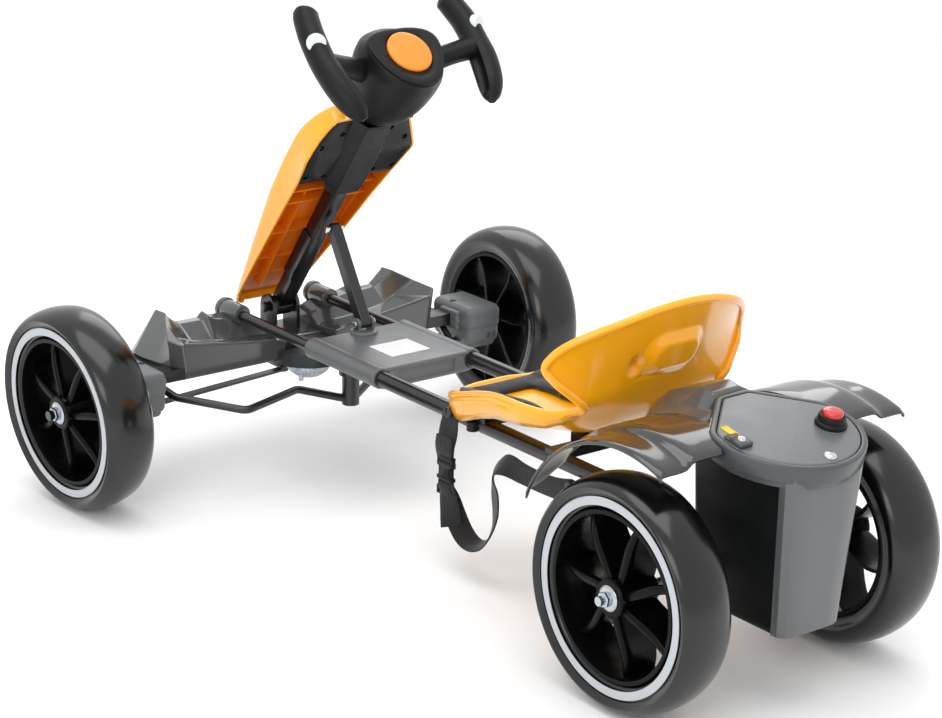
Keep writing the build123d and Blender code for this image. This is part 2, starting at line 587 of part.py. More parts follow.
def post_shape():
    """Post under the deck box with the cup round its top."""
    bottom = DECK_TOP - DECK_THICKNESS
    return rod((POST_X, 0, 95), (POST_X, 0, bottom), 11) + rod((POST_X, 0, 134), (POST_X, 0, bottom), 15)


def centre_post():
    return post_shape()


def brace(side):
    """Bent rod from the post to the end of the axle beam."""
    weld = BEAM_HEIGHT - BEAM_TALL / 2 - BRACE_RADIUS
    points = [(WHEELBASE + x, stretched(y), z) for x, y, z in BRACE_PATH + [(*BRACE_WELD, weld)]]
    return mirrored(bent_rod(points, BRACE_RADIUS, BRACE_BEND) - post_shape(), side)


# ---------------------------------------------------------------- folding column
def column_frame():
    """The column's own frame: x along it from the pivot, y to the right, z towards the front."""
    angle = math.radians(COLUMN_ANGLE)
    x_dir = (-math.cos(angle), 0, math.sin(angle))
    return Plane(origin=(along(COLUMN_PIVOT_X), 0, COLUMN_PIVOT_Z), x_dir=x_dir,
                 z_dir=(math.sin(angle), 0, math.cos(angle)))


def on_column(shape):
    return column_frame() * shape


def bar(a, b, radius, y=0.0, z=0.0):
    """A round bar along the column between two distances from the pivot."""
    return Pos((a + b) / 2, y, z) * Rot(0, 90, 0) * Cylinder(radius, b - a)


def column_tube():
    """Black square column with the eye it folds on and the lug for the strut."""
    half = COLUMN_RADIUS
    eye_room = EYE_RADIUS - COLUMN_WALL - 1
    tube = Pos((COLUMN_LENGTH + eye_room) / 2, 0, 0) * Box(COLUMN_LENGTH - eye_room, 2 * half, 2 * half)
    tube = fillet(tube.edges().filter_by(Axis.X), COLUMN_CORNER)
    bore = 2 * (half - COLUMN_WALL)
    tube -= Pos(COLUMN_LENGTH / 2 + eye_room, 0, 0) * Box(COLUMN_LENGTH, bore, bore)
    eye = Rot(90, 0, 0) * Cylinder(EYE_RADIUS, 2 * half)
    lug_depth = STRUT_PIVOT_BELOW - half + 1
    lug = Pos(STRUT_PIVOT_ALONG, 0, lug_depth / 2 - STRUT_PIVOT_BELOW) * Box(LUG_LENGTH, LUG_WIDTH, lug_depth)
    lug += Pos(STRUT_PIVOT_ALONG, 0, -STRUT_PIVOT_BELOW) * Rot(90, 0, 0) * Cylinder(LUG_EYE_RADIUS, LUG_WIDTH)
    tube = tube + eye + lug
    tube -= Rot(90, 0, 0) * Cylinder(PIVOT_PIN_RADIUS + PIN_CLEARANCE, 4 * half)
    hole = Rot(90, 0, 0) * Cylinder(PIN_RADIUS + PIN_CLEARANCE, 4 * half)
    tube -= Pos(STRUT_PIVOT_ALONG, 0, -STRUT_PIVOT_BELOW) * hole
    return on_column(tube)


def fairing_outline(inset):
    """Outline of the fairing seen along the column's front, inset all round."""
    low, top, shoulder = FAIRING_LOW, FAIRING_TOP, FAIRING_TOP - FAIRING_SHOULDER
    foot, wide, crown = FAIRING_FOOT_HALF - inset, FAIRING_WIDE_HALF - inset, FAIRING_CROWN_HALF - inset
    outline = Polyline((low + inset, foot), (shoulder, wide), (top - inset, crown), (top - inset, -crown),
                       (shoulder, -wide), (low + inset, -foot), close=True)
    return fillet(make_face(outline).vertices(), 12)


def rim_plane():
    """Plane of the fairing's rear rim in the column's frame, z towards the front."""
    tilt = math.radians(FAIRING_TILT)
    return Plane(origin=(FAIRING_LOW, 0, FAIRING_RIM_LOW), x_dir=(math.cos(tilt), 0, -math.sin(tilt)),
                 z_dir=(math.sin(tilt), 0, math.cos(tilt)))


def fairing_body(inset, front):
    """The fairing's solid outline, ahead of its rim, with rounded front edges."""
    solid = Pos(0, 0, -20) * extrude(fairing_outline(inset), amount=front + 20)
    solid = fillet(solid.edges().filter_by_position(Axis.Z, front - 1, front + 1), 9)
    behind = rim_plane() * Pos(180, 0, -50) * Box(500, 200, 100)
    return solid - behind


def fairing_shell():
    """The fairing's wall in the column's frame, with a hole for the column in its top."""
    shell = fairing_body(0, FAIRING_FRONT) - fairing_body(FAIRING_WALL, FAIRING_FRONT - FAIRING_WALL)
    return shell - Pos(FAIRING_TOP, 0, 0) * Box(30, 2 * COLUMN_RADIUS + 12, 2 * COLUMN_RADIUS + 12)


def fairing():
    """Moulded fairing in front of the column, open to the rear."""
    return on_column(fairing_shell())


def column_cover():
    """Dark cover that closes the top of the fairing behind the column."""
    inside = fairing_body(FAIRING_WALL + FIT_GAP, FAIRING_FRONT)
    plate = rim_plane() * Pos(288, 0, 3) * Box(122, 2 * FAIRING_WIDE_HALF, 3) & inside
    hood = Pos(278, 0, -4) * Box(124, 2 * COLUMN_RADIUS + 6, 2 * COLUMN_RADIUS + 8)
    hood = fillet(hood.edges().filter_by(Axis.X), 10)
    cover = plate + hood - fairing_shell()
    bore = 2 * COLUMN_RADIUS + 0.2
    cover -= Pos(COLUMN_LENGTH / 2, 0, 0) * Box(2 * COLUMN_LENGTH, bore, bore)
    cover -= Pos(COLUMN_LENGTH / 2, 0, 30) * Box(2 * COLUMN_LENGTH, 2 * COLUMN_RADIUS + 0.2, 60)
    return on_column(cover)


def strut():
    """U-shaped strut from the column to the deck lugs, with its loose foot pin."""
    angle = math.radians(COLUMN_ANGLE)
    top_x = COLUMN_PIVOT_X - STRUT_PIVOT_ALONG * math.cos(angle) - STRUT_PIVOT_BELOW * math.sin(angle)
    top_z = COLUMN_PIVOT_Z + STRUT_PIVOT_ALONG * math.sin(angle) - STRUT_PIVOT_BELOW * math.cos(angle)
    top = Vector(along(top_x), 0, top_z)
    foot = Vector(along(STRUT_FOOT_X), 0, STRUT_FOOT_Z)
    length = (top - foot).length
    plane = Plane(origin=foot, x_dir=top - foot, z_dir=(top - foot).cross(Vector(0, 1, 0)))
    cheek = STRUT_DEPTH - 2 * STRUT_WALL
    closed = length - 2 * STRUT_END_OPEN
    shape = Pos(length / 2, 0, (cheek - STRUT_WALL) / 2) * Box(closed, STRUT_WIDTH, STRUT_WALL)
    for side in SIDES.values():
        y = side * (STRUT_WIDTH - STRUT_WALL) / 2
        shape += Pos(length / 2, y, 0) * Box(length, STRUT_WALL, cheek)
        for x in (0, length):
            shape += Pos(x, y, 0) * Rot(90, 0, 0) * Cylinder(cheek / 2, STRUT_WALL)
    shape += Rot(90, 0, 0) * Cylinder(PIN_RADIUS, STRUT_WIDTH + 2 * STRUT_PIN_OVERHANG)
    shape += Pos(length, 0, 0) * Rot(90, 0, 0) * Cylinder(PIN_RADIUS, STRUT_WIDTH)
    return plane * shape


# ---------------------------------------------------------------- steering wheel
def across_column(distance):
    """A plane square to the column at a distance from its pivot, x to the right and y to the front."""
    return Plane(origin=(distance, 0, 0), x_dir=(0, 1, 0), z_dir=(1, 0, 0))


def hub_top_plane():
    """Plane of the hub's flat top in the column's frame, x to the right and y to the front."""
    tilt = math.radians(HUB_TILT)
    return Plane(origin=(COLUMN_LENGTH + HUB_GAP + HUB_HEIGHT, 0, 0), x_dir=(0, 1, 0),
                 z_dir=(math.cos(tilt), 0, -math.sin(tilt)))


def steering_hub():
    """Hub of the steering wheel: a round bowl under a flat top, with two spokes."""
    foot = COLUMN_LENGTH + HUB_GAP
    sections = []
    for height, radius in HUB_SECTIONS:
        sections.append(across_column(foot + height) * RectangleRounded(2 * radius, 2 * radius,
                                                                        HUB_CORNER_SHARE * radius))
    outline = RectangleRounded(2 * HUB_HALF_WIDTH, 2 * HUB_HALF_DEPTH, HUB_CORNER_RADIUS)
    top = hub_top_plane().offset(-HUB_TOP_THICKNESS) * Pos(0, -HUB_TOP_BACK) * outline
    hub = loft(sections + [top])
    hub += extrude(top, amount=HUB_TOP_THICKNESS)
    for side in SIDES.values():
        start = Vector(foot + SPOKE_HEIGHT, -side * SPOKE_START, 0)
        end = Vector(*grip_points(side)[2])
        plane = Plane(origin=start, z_dir=end - start)
        spoke = plane * Cylinder(SPOKE_BAR_RADIUS, (end - start).length,
                                 align=(Align.CENTER, Align.CENTER, Align.MIN))
        hub += spoke - grip_bar(side)
    return on_column(hub)


def grip_points(side):
    """Middle line of a grip in the column's frame, from top to bottom."""
    middle = COLUMN_LENGTH + 100
    return [(middle + 7, -side * (GRIP_SPREAD - 7), 62), (middle + 6, -side * (GRIP_SPREAD - 1), 35),
            (middle, -side * GRIP_SPREAD, 0), (middle - 6, -side * (GRIP_SPREAD - 5), -35),
            (middle - 12, -side * (GRIP_SPREAD - 15), -66)]


def grip_bar(side):
    """A curved round grip with domed ends, in the column's frame."""
    points = grip_points(side)
    path = Spline(*points)
    shape = sweep(Plane(path @ 0, z_dir=path % 0) * Circle(GRIP_RADIUS), path=path)
    shape += Pos(*points[0]) * Sphere(GRIP_RADIUS)
    return shape + Pos(*points[-1]) * Sphere(GRIP_RADIUS)


def grip(side):
    return on_column(grip_bar(side))


def horn_button():
    """Round horn button on the hub's flat top."""
    seat = hub_top_plane().offset(HUB_GAP)
    return on_column(extrude(seat * Pos(0, -BUTTON_BACK) * Circle(BUTTON_RADIUS), amount=BUTTON_THICKNESS))


# ---------------------------------------------------------------- seat
def pan_section(x, inset):
    """Trough-shaped cross-section of the seat pan at one of its stations."""
    low, low_half, high, high_half = SEAT_PAN[x]
    rise = 1.0 if inset else 0.0
    wide, narrow = high_half - inset, low_half - inset
    points = [(-wide, high + rise), (-narrow, low + inset), (narrow, low + inset), (wide, high + rise)]
    plane = Plane(origin=(along(x), 0, 0), x_dir=(0, 1, 0), z_dir=(1, 0, 0))
    return plane * make_face(Polyline(*points, close=True))


def back_section(height):
    """Curved cross-section of the reclined seat back at one of its heights."""
    middle, half, edge = SEAT_BACK[height]
    ends = [Vector(along(edge), side * half, height) for side in SIDES.values()]
    centre = Vector(along(middle), 0, height)
    thick = Vector(SEAT_WALL, 0, 0)
    rear = ThreePointArc(ends[0], centre, ends[1])
    front = ThreePointArc(ends[1] + thick, centre + thick, ends[0] + thick)
    return make_face([rear, Line(ends[1], ends[1] + thick), front, Line(ends[0] + thick, ends[0])])


def seat_shell():
    """Bucket seat of one moulding: pan with raised sides and a reclined back."""
    pan = loft([pan_section(x, 0) for x in SEAT_PAN], ruled=True)
    pan -= loft([pan_section(x, SEAT_WALL) for x in SEAT_PAN], ruled=True)
    back = loft([back_section(height) for height in SEAT_BACK], ruled=True)
    return pan + back


def seat_pad():
    """Thin fabric-covered pad on the floor of the seat."""
    rear, *middle, front = sorted(SEAT_PAN)[1:]
    gap = SEAT_WALL + FIT_GAP
    faces = []
    for x in (rear + PAD_REAR_GAP, *middle, front - PAD_FRONT_GAP):
        low = floor_height(x) + gap
        plane = Plane(origin=(along(x), 0, 0), x_dir=(0, 1, 0), z_dir=(1, 0, 0))
        faces.append(plane * Pos(0, low + PAD_THICKNESS / 2) * Rectangle(PAD_WIDTH, PAD_THICKNESS))
    return loft(faces, ruled=True)


def floor_height(x):
    """Height of the pan's underside at any place along it."""
    stations = sorted(SEAT_PAN)
    for low, high in zip(stations, stations[1:]):
        if low <= x <= high:
            share = (x - low) / (high - low)
            return SEAT_PAN[low][0] + share * (SEAT_PAN[high][0] - SEAT_PAN[low][0])
    raise ValueError(x)


def seat_mount():
    """Two cross bars that carry the seat on the rails."""
    bars = []
    reach = RAIL_HALF_SPACING + MOUNT_OVERHANG
    low = RAIL_HEIGHT + MOUNT_LIFT
    for x in MOUNT_PLACES:
        x0, x1 = x - MOUNT_HALF_LENGTH, x + MOUNT_HALF_LENGTH
        top = min(floor_height(x0), floor_height(x1))
        bar_piece = block(x0, x1, -reach, reach, low, SEAT_BEARING)
        bar_piece += block(x0, x1, -MOUNT_HALF_WIDTH, MOUNT_HALF_WIDTH, low, top)
        for side in SIDES.values():
            y = side * RAIL_HALF_SPACING
            bar_piece -= rod((x0 - 1, y, RAIL_HEIGHT), (x1 + 1, y, RAIL_HEIGHT), REAR_RAIL_RADIUS)
        bars.append(bar_piece)
    return bars[0] + bars[1]


def belt_strip(points, width, thickness):
    """A flat strip through points in the plane beside the left rail, facing sideways."""
    runs = []
    for start, end in zip(points, points[1:]):
        first, last = Vector(*start), Vector(*end)
        tilt = math.degrees(math.atan2(last.Y - first.Y, last.X - first.X))
        runs.append(Pos((first + last) * 0.5) * Rot(0, 0, tilt) * Rectangle((last - first).length, width))
    joints = [Pos(*point) * Circle(width / 2) for point in points[1:-1]]
    outline = Sketch() + runs + joints
    return extrude(side_plane(BELT_Y) * outline, amount=-thickness)


def lap_belt():
    """Webbing of the lap belt that hangs on the left: a short and a long end."""
    front = belt_strip(BELT_FRONT, BELT_WIDTH, BELT_THICKNESS)
    return front + belt_strip(BELT_REAR, BELT_WIDTH, BELT_THICKNESS)


def belt_buckle():
    """Side-release buckle that joins the two ends of the lap belt."""
    return Pos(0, -2, 0) * belt_strip(BELT_BUCKLE, BELT_WIDTH + 6, BELT_THICKNESS + 4)


# ---------------------------------------------------------------- rear
def lid_plane():
    """The lid's upper face: x forward from its hinge, tilted down to the rear."""
    angle = math.radians(LID_PITCH)
    return Plane(origin=(along(LID_HINGE_X), 0, LID_HINGE_Z), x_dir=(math.cos(angle), 0, math.sin(angle)),
                 z_dir=(-math.sin(angle), 0, math.cos(angle)))


def lid_outline(grow):
    """Outline of the lid, round at the rear and tapering to its hinge, wider by a margin all round."""
    rear, corner, half, nose = -LID_LENGTH - 20, LID_CORNER_X, LID_HALF_WIDTH, LID_NOSE_HALF_WIDTH
    corners = [(rear, half), (corner, half), (0, nose), (0, -nose), (corner, -half), (rear, -half)]
    face = make_face(Polyline(*corners, close=True))
    face = fillet(face.vertices().filter_by(lambda v: abs(v.X - corner) < 1), 24)
    face = fillet(face.vertices().filter_by(lambda v: v.X > -1), 5)
    outline = face & Pos(LID_REAR_RADIUS - LID_LENGTH, 0) * Circle(LID_REAR_RADIUS)
    return offset(outline, amount=grow, kind=Kind.INTERSECTION) if grow else outline


def hinge_bar(radius, half_length):
    """A round bar on the axis that the lid swings about, in the lid's frame."""
    return Pos(0, 0, -LID_THICKNESS / 2) * Rot(90, 0, 0) * Cylinder(radius, 2 * half_length)


def box_lid():
    """Flat lid of the battery box with the eye it swings on."""
    lid = Pos(0, 0, -LID_THICKNESS) * extrude(lid_outline(0), amount=LID_THICKNESS)
    kept = hinge_bar(LID_LENGTH, HINGE_EYE_HALF_LENGTH)
    lid -= hinge_bar(HINGE_EYE_RADIUS + LID_GAP, LID_HALF_WIDTH) - kept
    lid += hinge_bar(HINGE_EYE_RADIUS, HINGE_EYE_HALF_LENGTH)
    lid -= hinge_bar(HINGE_PIN_RADIUS + PIN_CLEARANCE, LID_HALF_WIDTH)
    return lid_plane() * lid


def box_collar():
    """Band round the lid, with the ledge that the lid rests on and the hinge pin."""
    wall = BOX_WALL
    band = extrude(lid_outline(COLLAR_WIDTH), amount=COLLAR_HEIGHT)
    band -= extrude(lid_outline(COLLAR_WIDTH - wall), amount=COLLAR_HEIGHT)
    ledge = extrude(lid_outline(COLLAR_WIDTH), amount=wall) - extrude(lid_outline(-6), amount=wall)
    rim = extrude(lid_outline(COLLAR_WIDTH), amount=LID_THICKNESS)
    rim -= extrude(lid_outline(LID_GAP), amount=LID_THICKNESS)
    under_lid = COLLAR_HEIGHT - LID_THICKNESS - FIT_GAP - wall
    collar = band + Pos(0, 0, under_lid) * ledge + Pos(0, 0, COLLAR_HEIGHT - LID_THICKNESS) * rim
    room = HINGE_EYE_HALF_LENGTH + LID_GAP
    collar = Pos(0, 0, -COLLAR_HEIGHT) * collar - hinge_bar(HINGE_EYE_RADIUS + LID_GAP, room)
    lugs = hinge_bar(HINGE_EYE_RADIUS, room + 3) - hinge_bar(HINGE_EYE_RADIUS + 1, room)
    return lid_plane() * (collar + lugs + hinge_bar(HINGE_PIN_RADIUS, room + 1))


def rear_box():
    """Battery box between the rear wheels, open at the top under its lid."""
    def section(height, rear, half, wall):
        depth = BOX_FRONT - rear
        face = RectangleRounded(depth - 2 * wall, 2 * (half - wall), BOX_CORNER - wall)
        return Plane.XY.offset(height) * Pos(along(rear + depth / 2), 0) * face
    foot_z, foot_rear, foot_half = BOX_FOOT
    head_z, head_rear, head_half = BOX_HEAD
    outer = loft([section(foot_z, foot_rear, foot_half, 0), section(head_z, head_rear, head_half, 0)])
    inner = loft([section(foot_z + BOX_WALL, foot_rear, foot_half, BOX_WALL),
                  section(head_z + 1, head_rear, head_half, BOX_WALL)])
    above = lid_plane() * Pos(0, 0, FENDER_RADIUS - COLLAR_HEIGHT - FIT_GAP)
    above = above * Box(4 * LID_LENGTH, 4 * LID_HALF_WIDTH, 2 * FENDER_RADIUS)
    box = outer - inner - above
    return box - rod((0, -2 * foot_half, TYRE_RADIUS), (0, 2 * foot_half, TYRE_RADIUS), AXLE_RADIUS)


def rear_axle():
    """Through axle of the rear wheels with its stepped ends."""
    shoulder = REAR_TRACK / 2 + HUB_LENGTH / 2
    axle = rod((0, -shoulder, TYRE_RADIUS), (0, shoulder, TYRE_RADIUS), AXLE_RADIUS)
    end = shoulder + AXLE_END
    return axle + rod((0, -end, TYRE_RADIUS), (0, end, TYRE_RADIUS), AXLE_TIP_RADIUS)


def axle_hanger(side):
    """Steel plate from a rail down to the rear axle."""
    y0, y1 = RAIL_HALF_SPACING - HANGER_THICKNESS / 2, RAIL_HALF_SPACING + HANGER_THICKNESS / 2
    weld = [(RAIL_REAR_X + HANGER_WELD, RAIL_HEIGHT), (RAIL_REAR_X, RAIL_HEIGHT)]
    plate = profile(HANGER_OUTLINE + weld, y0, y1)
    plate -= rod((0, 0, TYRE_RADIUS), (0, 2 * y1, TYRE_RADIUS), AXLE_RADIUS)
    y = RAIL_HALF_SPACING
    plate -= rod((-RAIL_REAR_X, y, RAIL_HEIGHT), (3 * RAIL_REAR_X, y, RAIL_HEIGHT), REAR_RAIL_RADIUS)
    return mirrored(plate, side)


def battery():
    """The battery pack inside the box, as one block."""
    return block(*BATTERY_ALONG, -BATTERY_HALF_WIDTH, BATTERY_HALF_WIDTH, *BATTERY_HEIGHTS)


def drive_motor():
    """The hub of the rear drive round the axle, as one cylinder."""
    half = MOTOR_HALF_LENGTH
    motor = rod((0, -half, TYRE_RADIUS), (0, half, TYRE_RADIUS), MOTOR_RADIUS)
    return motor - rod((0, -2 * half, TYRE_RADIUS), (0, 2 * half, TYRE_RADIUS), AXLE_RADIUS)


def rear_cover():
    """Sloping cover in front of the lid, up to the seat back."""
    def section(x, low_half, top_half, low, high):
        corners = [(-low_half, low), (-top_half, high), (top_half, high), (low_half, low)]
        face = make_face(Polyline(*corners, close=True))
        return Plane(origin=(along(x), 0, 0), x_dir=(0, 1, 0), z_dir=(1, 0, 0)) * face
    ends = []
    for x, low_half, top_half, low, high in REAR_COVER_ENDS:
        ends.append((section(x, low_half, top_half, low, high),
                     section(x - 1, low_half - BOX_WALL, top_half - 1, low - 1, high - BOX_WALL)))
    outer = loft([ends[0][0], ends[1][0]])
    return outer - loft([ends[0][1], ends[1][1]])


def fender(side):
    """Arched fender over a rear wheel, its outer front corner drawn down to a tip."""
    def ring(radius, y0, y1):
        return rod((0, y0, TYRE_RADIUS), (0, y1, TYRE_RADIUS), radius)
    arch = ring(FENDER_RADIUS, FENDER_INNER_Y, FENDER_OUTER_Y)
    arch -= ring(FENDER_RADIUS - BOX_WALL, FENDER_INNER_Y - 1, FENDER_OUTER_Y + 1)
    plan = make_face(Polyline(*FENDER_PLAN, close=True))
    arch &= Pos(REAR_AXLE_X, 0, TYRE_RADIUS) * extrude(plan, amount=2 * FENDER_RADIUS)
    cutter = extrude(lid_outline(COLLAR_WIDTH + FIT_GAP), amount=FENDER_RADIUS)
    return mirrored(arch - lid_plane() * Pos(0, 0, -FENDER_RADIUS / 2) * cutter, side)


def stop_switch():
    """Round body of the stop switch on the lid."""
    body = Cylinder(SWITCH_RADIUS, SWITCH_HEIGHT)
    return lid_plane() * Pos(SWITCH_X, SWITCH_Y, SWITCH_HEIGHT / 2) * body


def stop_button():
    """Push button on the stop switch."""
    button = Cylinder(BUTTON_FACE_RADIUS, BUTTON_HEIGHT)
    return lid_plane() * Pos(SWITCH_X, SWITCH_Y, SWITCH_HEIGHT + BUTTON_HEIGHT / 2) * button


def lid_lock():
    """Domed head of the lid's lock."""
    return lid_plane() * Pos(LOCK_X, 0, LOCK_HEIGHT / 2) * Cylinder(LOCK_RADIUS, LOCK_HEIGHT)


def lid_clip():
    """Tab on the left edge of the lid that holds it shut."""
    length, width, height = CLIP_SIZE
    return lid_plane() * Pos(CLIP_X, LID_HALF_WIDTH - width / 2, height / 2) * Box(length, width, height)


def build():
    parts = {}
    tyre = wheel_tyre()
    rim = wheel_rim()
    for name, side in SIDES.items():
        parts["front_tyre_" + name] = at_front_wheel(tyre, side)
        parts["front_rim_" + name] = at_front_wheel(rim, side)
        parts["rear_tyre_" + name] = at_rear_wheel(tyre, side)
        parts["rear_rim_" + name] = at_rear_wheel(rim, side)
        parts["steering_knuckle_" + name] = knuckle(side)
        parts["knuckle_cover_" + name] = knuckle_cover(side)
        parts["tie_bar_" + name] = tie_bar(side)
        parts["frame_rail_" + name] = rail(side)
    parts["steering_crank"] = steering_crank()
    parts["swivel_disc"] = swivel_disc()
    parts["deck_box"] = deck_box()
    parts["axle_beam"] = axle_beam()
    parts["front_body"] = front_body()
    parts["column_bracket"] = column_bracket()
    parts["swivel_housing"] = swivel_housing()
    parts["centre_post"] = centre_post()
    parts["column_tube"] = column_tube()
    parts["column_cover"] = column_cover()
    parts["column_fairing"] = fairing()
    parts["column_strut"] = strut()
    parts["steering_hub"] = steering_hub()
    parts["horn_button"] = horn_button()
    parts["seat_shell"] = seat_shell()
    parts["seat_pad"] = seat_pad()
    parts["lap_belt"] = lap_belt()
    parts["belt_buckle"] = belt_buckle()
    parts["seat_mount"] = seat_mount()
    parts["rear_box"] = rear_box()
    parts["rear_axle"] = rear_axle()
    parts["battery"] = battery()
    parts["drive_motor"] = drive_motor()
    parts["box_lid"] = box_lid()
    parts["box_collar"] = box_collar()
    parts["rear_cover"] = rear_cover()
    parts["stop_switch"] = stop_switch()
    parts["stop_button"] = stop_button()
    parts["lid_lock"] = lid_lock()
    parts["lid_clip"] = lid_clip()
    for name, side in SIDES.items():
        parts["brace_rod_" + name] = brace(side)
        parts["grip_" + name] = grip(side)
        parts["axle_hanger_" + name] = axle_hanger(side)
        parts["rear_fender_" + name] = fender(side)
    return parts


if __name__ == "__main__":
    os.makedirs("parts", exist_ok=True)
    for node, shape in build().items():
        export_step(shape, os.path.join("parts", node + ".step"))
        print(node, len(shape.solids()), round(shape.volume))
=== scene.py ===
"""Looks of the child's folding electric kart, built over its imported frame.

Millimetres in the numbers below, metres in the scene. Places are given from the rear axle:
x forward, y to the driver's left, z up from the ground.
"""
import bpy
import json
from math import atan2, cos, exp, hypot, pi, radians, sin, sqrt, tau
from mathutils import Matrix, Vector


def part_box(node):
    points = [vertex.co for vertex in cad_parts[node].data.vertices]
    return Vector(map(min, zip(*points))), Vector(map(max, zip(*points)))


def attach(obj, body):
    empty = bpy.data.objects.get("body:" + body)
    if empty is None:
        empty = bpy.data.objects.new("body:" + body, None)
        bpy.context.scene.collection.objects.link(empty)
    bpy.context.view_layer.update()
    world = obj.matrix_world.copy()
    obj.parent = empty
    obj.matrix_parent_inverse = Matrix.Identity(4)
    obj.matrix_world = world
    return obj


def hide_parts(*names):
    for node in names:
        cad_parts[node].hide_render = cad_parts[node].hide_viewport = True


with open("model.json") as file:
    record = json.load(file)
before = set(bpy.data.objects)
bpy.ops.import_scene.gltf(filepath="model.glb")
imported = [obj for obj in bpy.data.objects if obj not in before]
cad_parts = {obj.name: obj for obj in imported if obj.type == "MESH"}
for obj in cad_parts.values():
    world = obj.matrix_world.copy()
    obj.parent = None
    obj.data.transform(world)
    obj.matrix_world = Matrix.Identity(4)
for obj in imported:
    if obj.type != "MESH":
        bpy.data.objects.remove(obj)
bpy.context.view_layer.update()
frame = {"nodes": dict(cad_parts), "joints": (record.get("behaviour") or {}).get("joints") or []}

MM = 0.001
axle_low, axle_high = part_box("rear_axle")
REAR_AXLE_X = (axle_low.x + axle_high.x) / 2
SIDES = {"left": 1, "right": -1}
JOINTS = {joint["name"]: joint for joint in frame["joints"]}


# ---------------------------------------------------------------- places
def spot(x, y, z):
    """A place measured from the rear axle in millimetres."""
    return Vector((REAR_AXLE_X + x * MM, y * MM, z * MM))


COLUMN_ANGLE = radians(55)
COLUMN_PIVOT = (858, 185)
STRUT_BOLT = (175, 0, -25)      # the strut's upper pin, along the column
STRUT_FOOT = (672, 208)
RAIL_Y, RAIL_Z = 68, 185
WHEEL_RADIUS = 125
DECK_TOP = 196


def on_column(run, y, ahead):
    """A place along the steering column from its pivot, and ahead of its middle line."""
    level, rise = cos(COLUMN_ANGLE), sin(COLUMN_ANGLE)
    return spot(COLUMN_PIVOT[0] - run * level + ahead * rise, y, COLUMN_PIVOT[1] + run * rise + ahead * level)


LID_PITCH = radians(10.6)
LID_HINGE = (16, 301)


def on_lid(x, y, height):
    """A place on the lid's upper face, forward of its hinge and above it."""
    level, rise = cos(LID_PITCH), sin(LID_PITCH)
    return spot(LID_HINGE[0] + x * level - height * rise, y, LID_HINGE[1] + x * rise + height * level)


# ---------------------------------------------------------------- modelling
def take(piece):
    """Selects one piece alone and makes it the active one."""
    bpy.ops.object.select_all(action="DESELECT")
    piece.select_set(True)
    bpy.context.view_layer.objects.active = piece
    return piece


def fresh(name):
    """Names the primitive that was just added."""
    return titled(bpy.context.object, name)


def edit(piece, select="SELECT"):
    take(piece)
    bpy.ops.object.mode_set(mode="EDIT")
    bpy.ops.mesh.select_all(action=select)


def settle(piece, smooth=35):
    """Leaves edit mode with outward normals, smooth up to an angle."""
    bpy.ops.mesh.select_all(action="SELECT")
    bpy.ops.mesh.remove_doubles(threshold=0.000004)
    bpy.ops.mesh.normals_make_consistent(inside=False)
    bpy.ops.object.mode_set(mode="OBJECT")
    if smooth:
        bpy.ops.object.shade_smooth_by_angle(angle=radians(smooth))
    return piece


def modify(piece, kind, **settings):
    """Adds a modifier with its settings and applies it."""
    take(piece)
    modifier = piece.modifiers.new(kind.title(), kind)
    for name, value in settings.items():
        setattr(modifier, name, value)
    bpy.ops.object.modifier_apply(modifier=modifier.name)
    return piece


def thick(piece, wall, offset=-1):
    """Gives a skin a wall in millimetres."""
    return modify(piece, "SOLIDIFY", thickness=wall * MM, offset=offset)


def shaded(piece, angle):
    """Shades a piece smooth over edges flatter than an angle."""
    take(piece)
    bpy.ops.object.shade_smooth_by_angle(angle=radians(angle))
    return piece


def rounded(piece, width, segments=3, angle=30):
    """Rounds every edge sharper than an angle."""
    modify(piece, "BEVEL", width=width * MM, segments=segments, limit_method="ANGLE",
        angle_limit=radians(angle), harden_normals=False)
    return shaded(piece, 50)


def upward(piece):
    """Turns a skin over where most of it faces down."""
    if sum(polygon.normal.z for polygon in piece.data.polygons) < 0:
        piece.data.flip_normals()
    return piece


def titled(piece, name):
    """Gives a piece and its mesh one name."""
    piece.name = piece.data.name = name
    return piece


def subdivided(piece, levels=2):
    modify(piece, "SUBSURF", levels=levels, render_levels=levels)
    take(piece)
    bpy.ops.object.shade_smooth()
    return piece


def skin(name, rows, ring=False, ends=False, smooth=35):
    """A grid laid through rows of places, closed round its rows and over its ends where asked."""
    if ring:
        rows = [list(row) + [row[0]] for row in rows]
    bpy.ops.object.select_all(action="DESELECT")
    bpy.ops.mesh.primitive_grid_add(x_subdivisions=len(rows[0]) - 1, y_subdivisions=len(rows) - 1)
    piece = fresh(name)
    places = [place for row in rows for place in row]
    for vertex, place in zip(piece.data.vertices, places):
        vertex.co = place
    edit(piece)
    bpy.ops.mesh.remove_doubles(threshold=0.000004)
    if ends:
        bpy.ops.mesh.fill_holes(sides=0)
    return settle(piece, smooth)


def turned(name, profile, steps=96, smooth=40):
    """A closed profile of radius and height spun about Z."""
    bpy.ops.object.select_all(action="DESELECT")
    bpy.ops.mesh.primitive_circle_add(vertices=len(profile))
    piece = fresh(name)
    for vertex, (radius, height) in zip(piece.data.vertices, profile):
        vertex.co = (radius * MM, 0, height * MM)
    edit(piece)
    bpy.ops.mesh.spin(steps=steps, angle=tau, center=(0, 0, 0), axis=(0, 0, 1))
    settle(piece, 0)
    edit(piece)
    bpy.ops.mesh.delete_loose(use_faces=False)
    return settle(piece, smooth)


def cross_pin(name, place, start, end, radius, round_off=0.8, sides=40):
    """A round bar across the kart through a place given as x and z, from one y to another."""
    return peg(name, spot(place[0], start, place[1]), spot(place[0], end, place[1]), radius, round_off, sides)


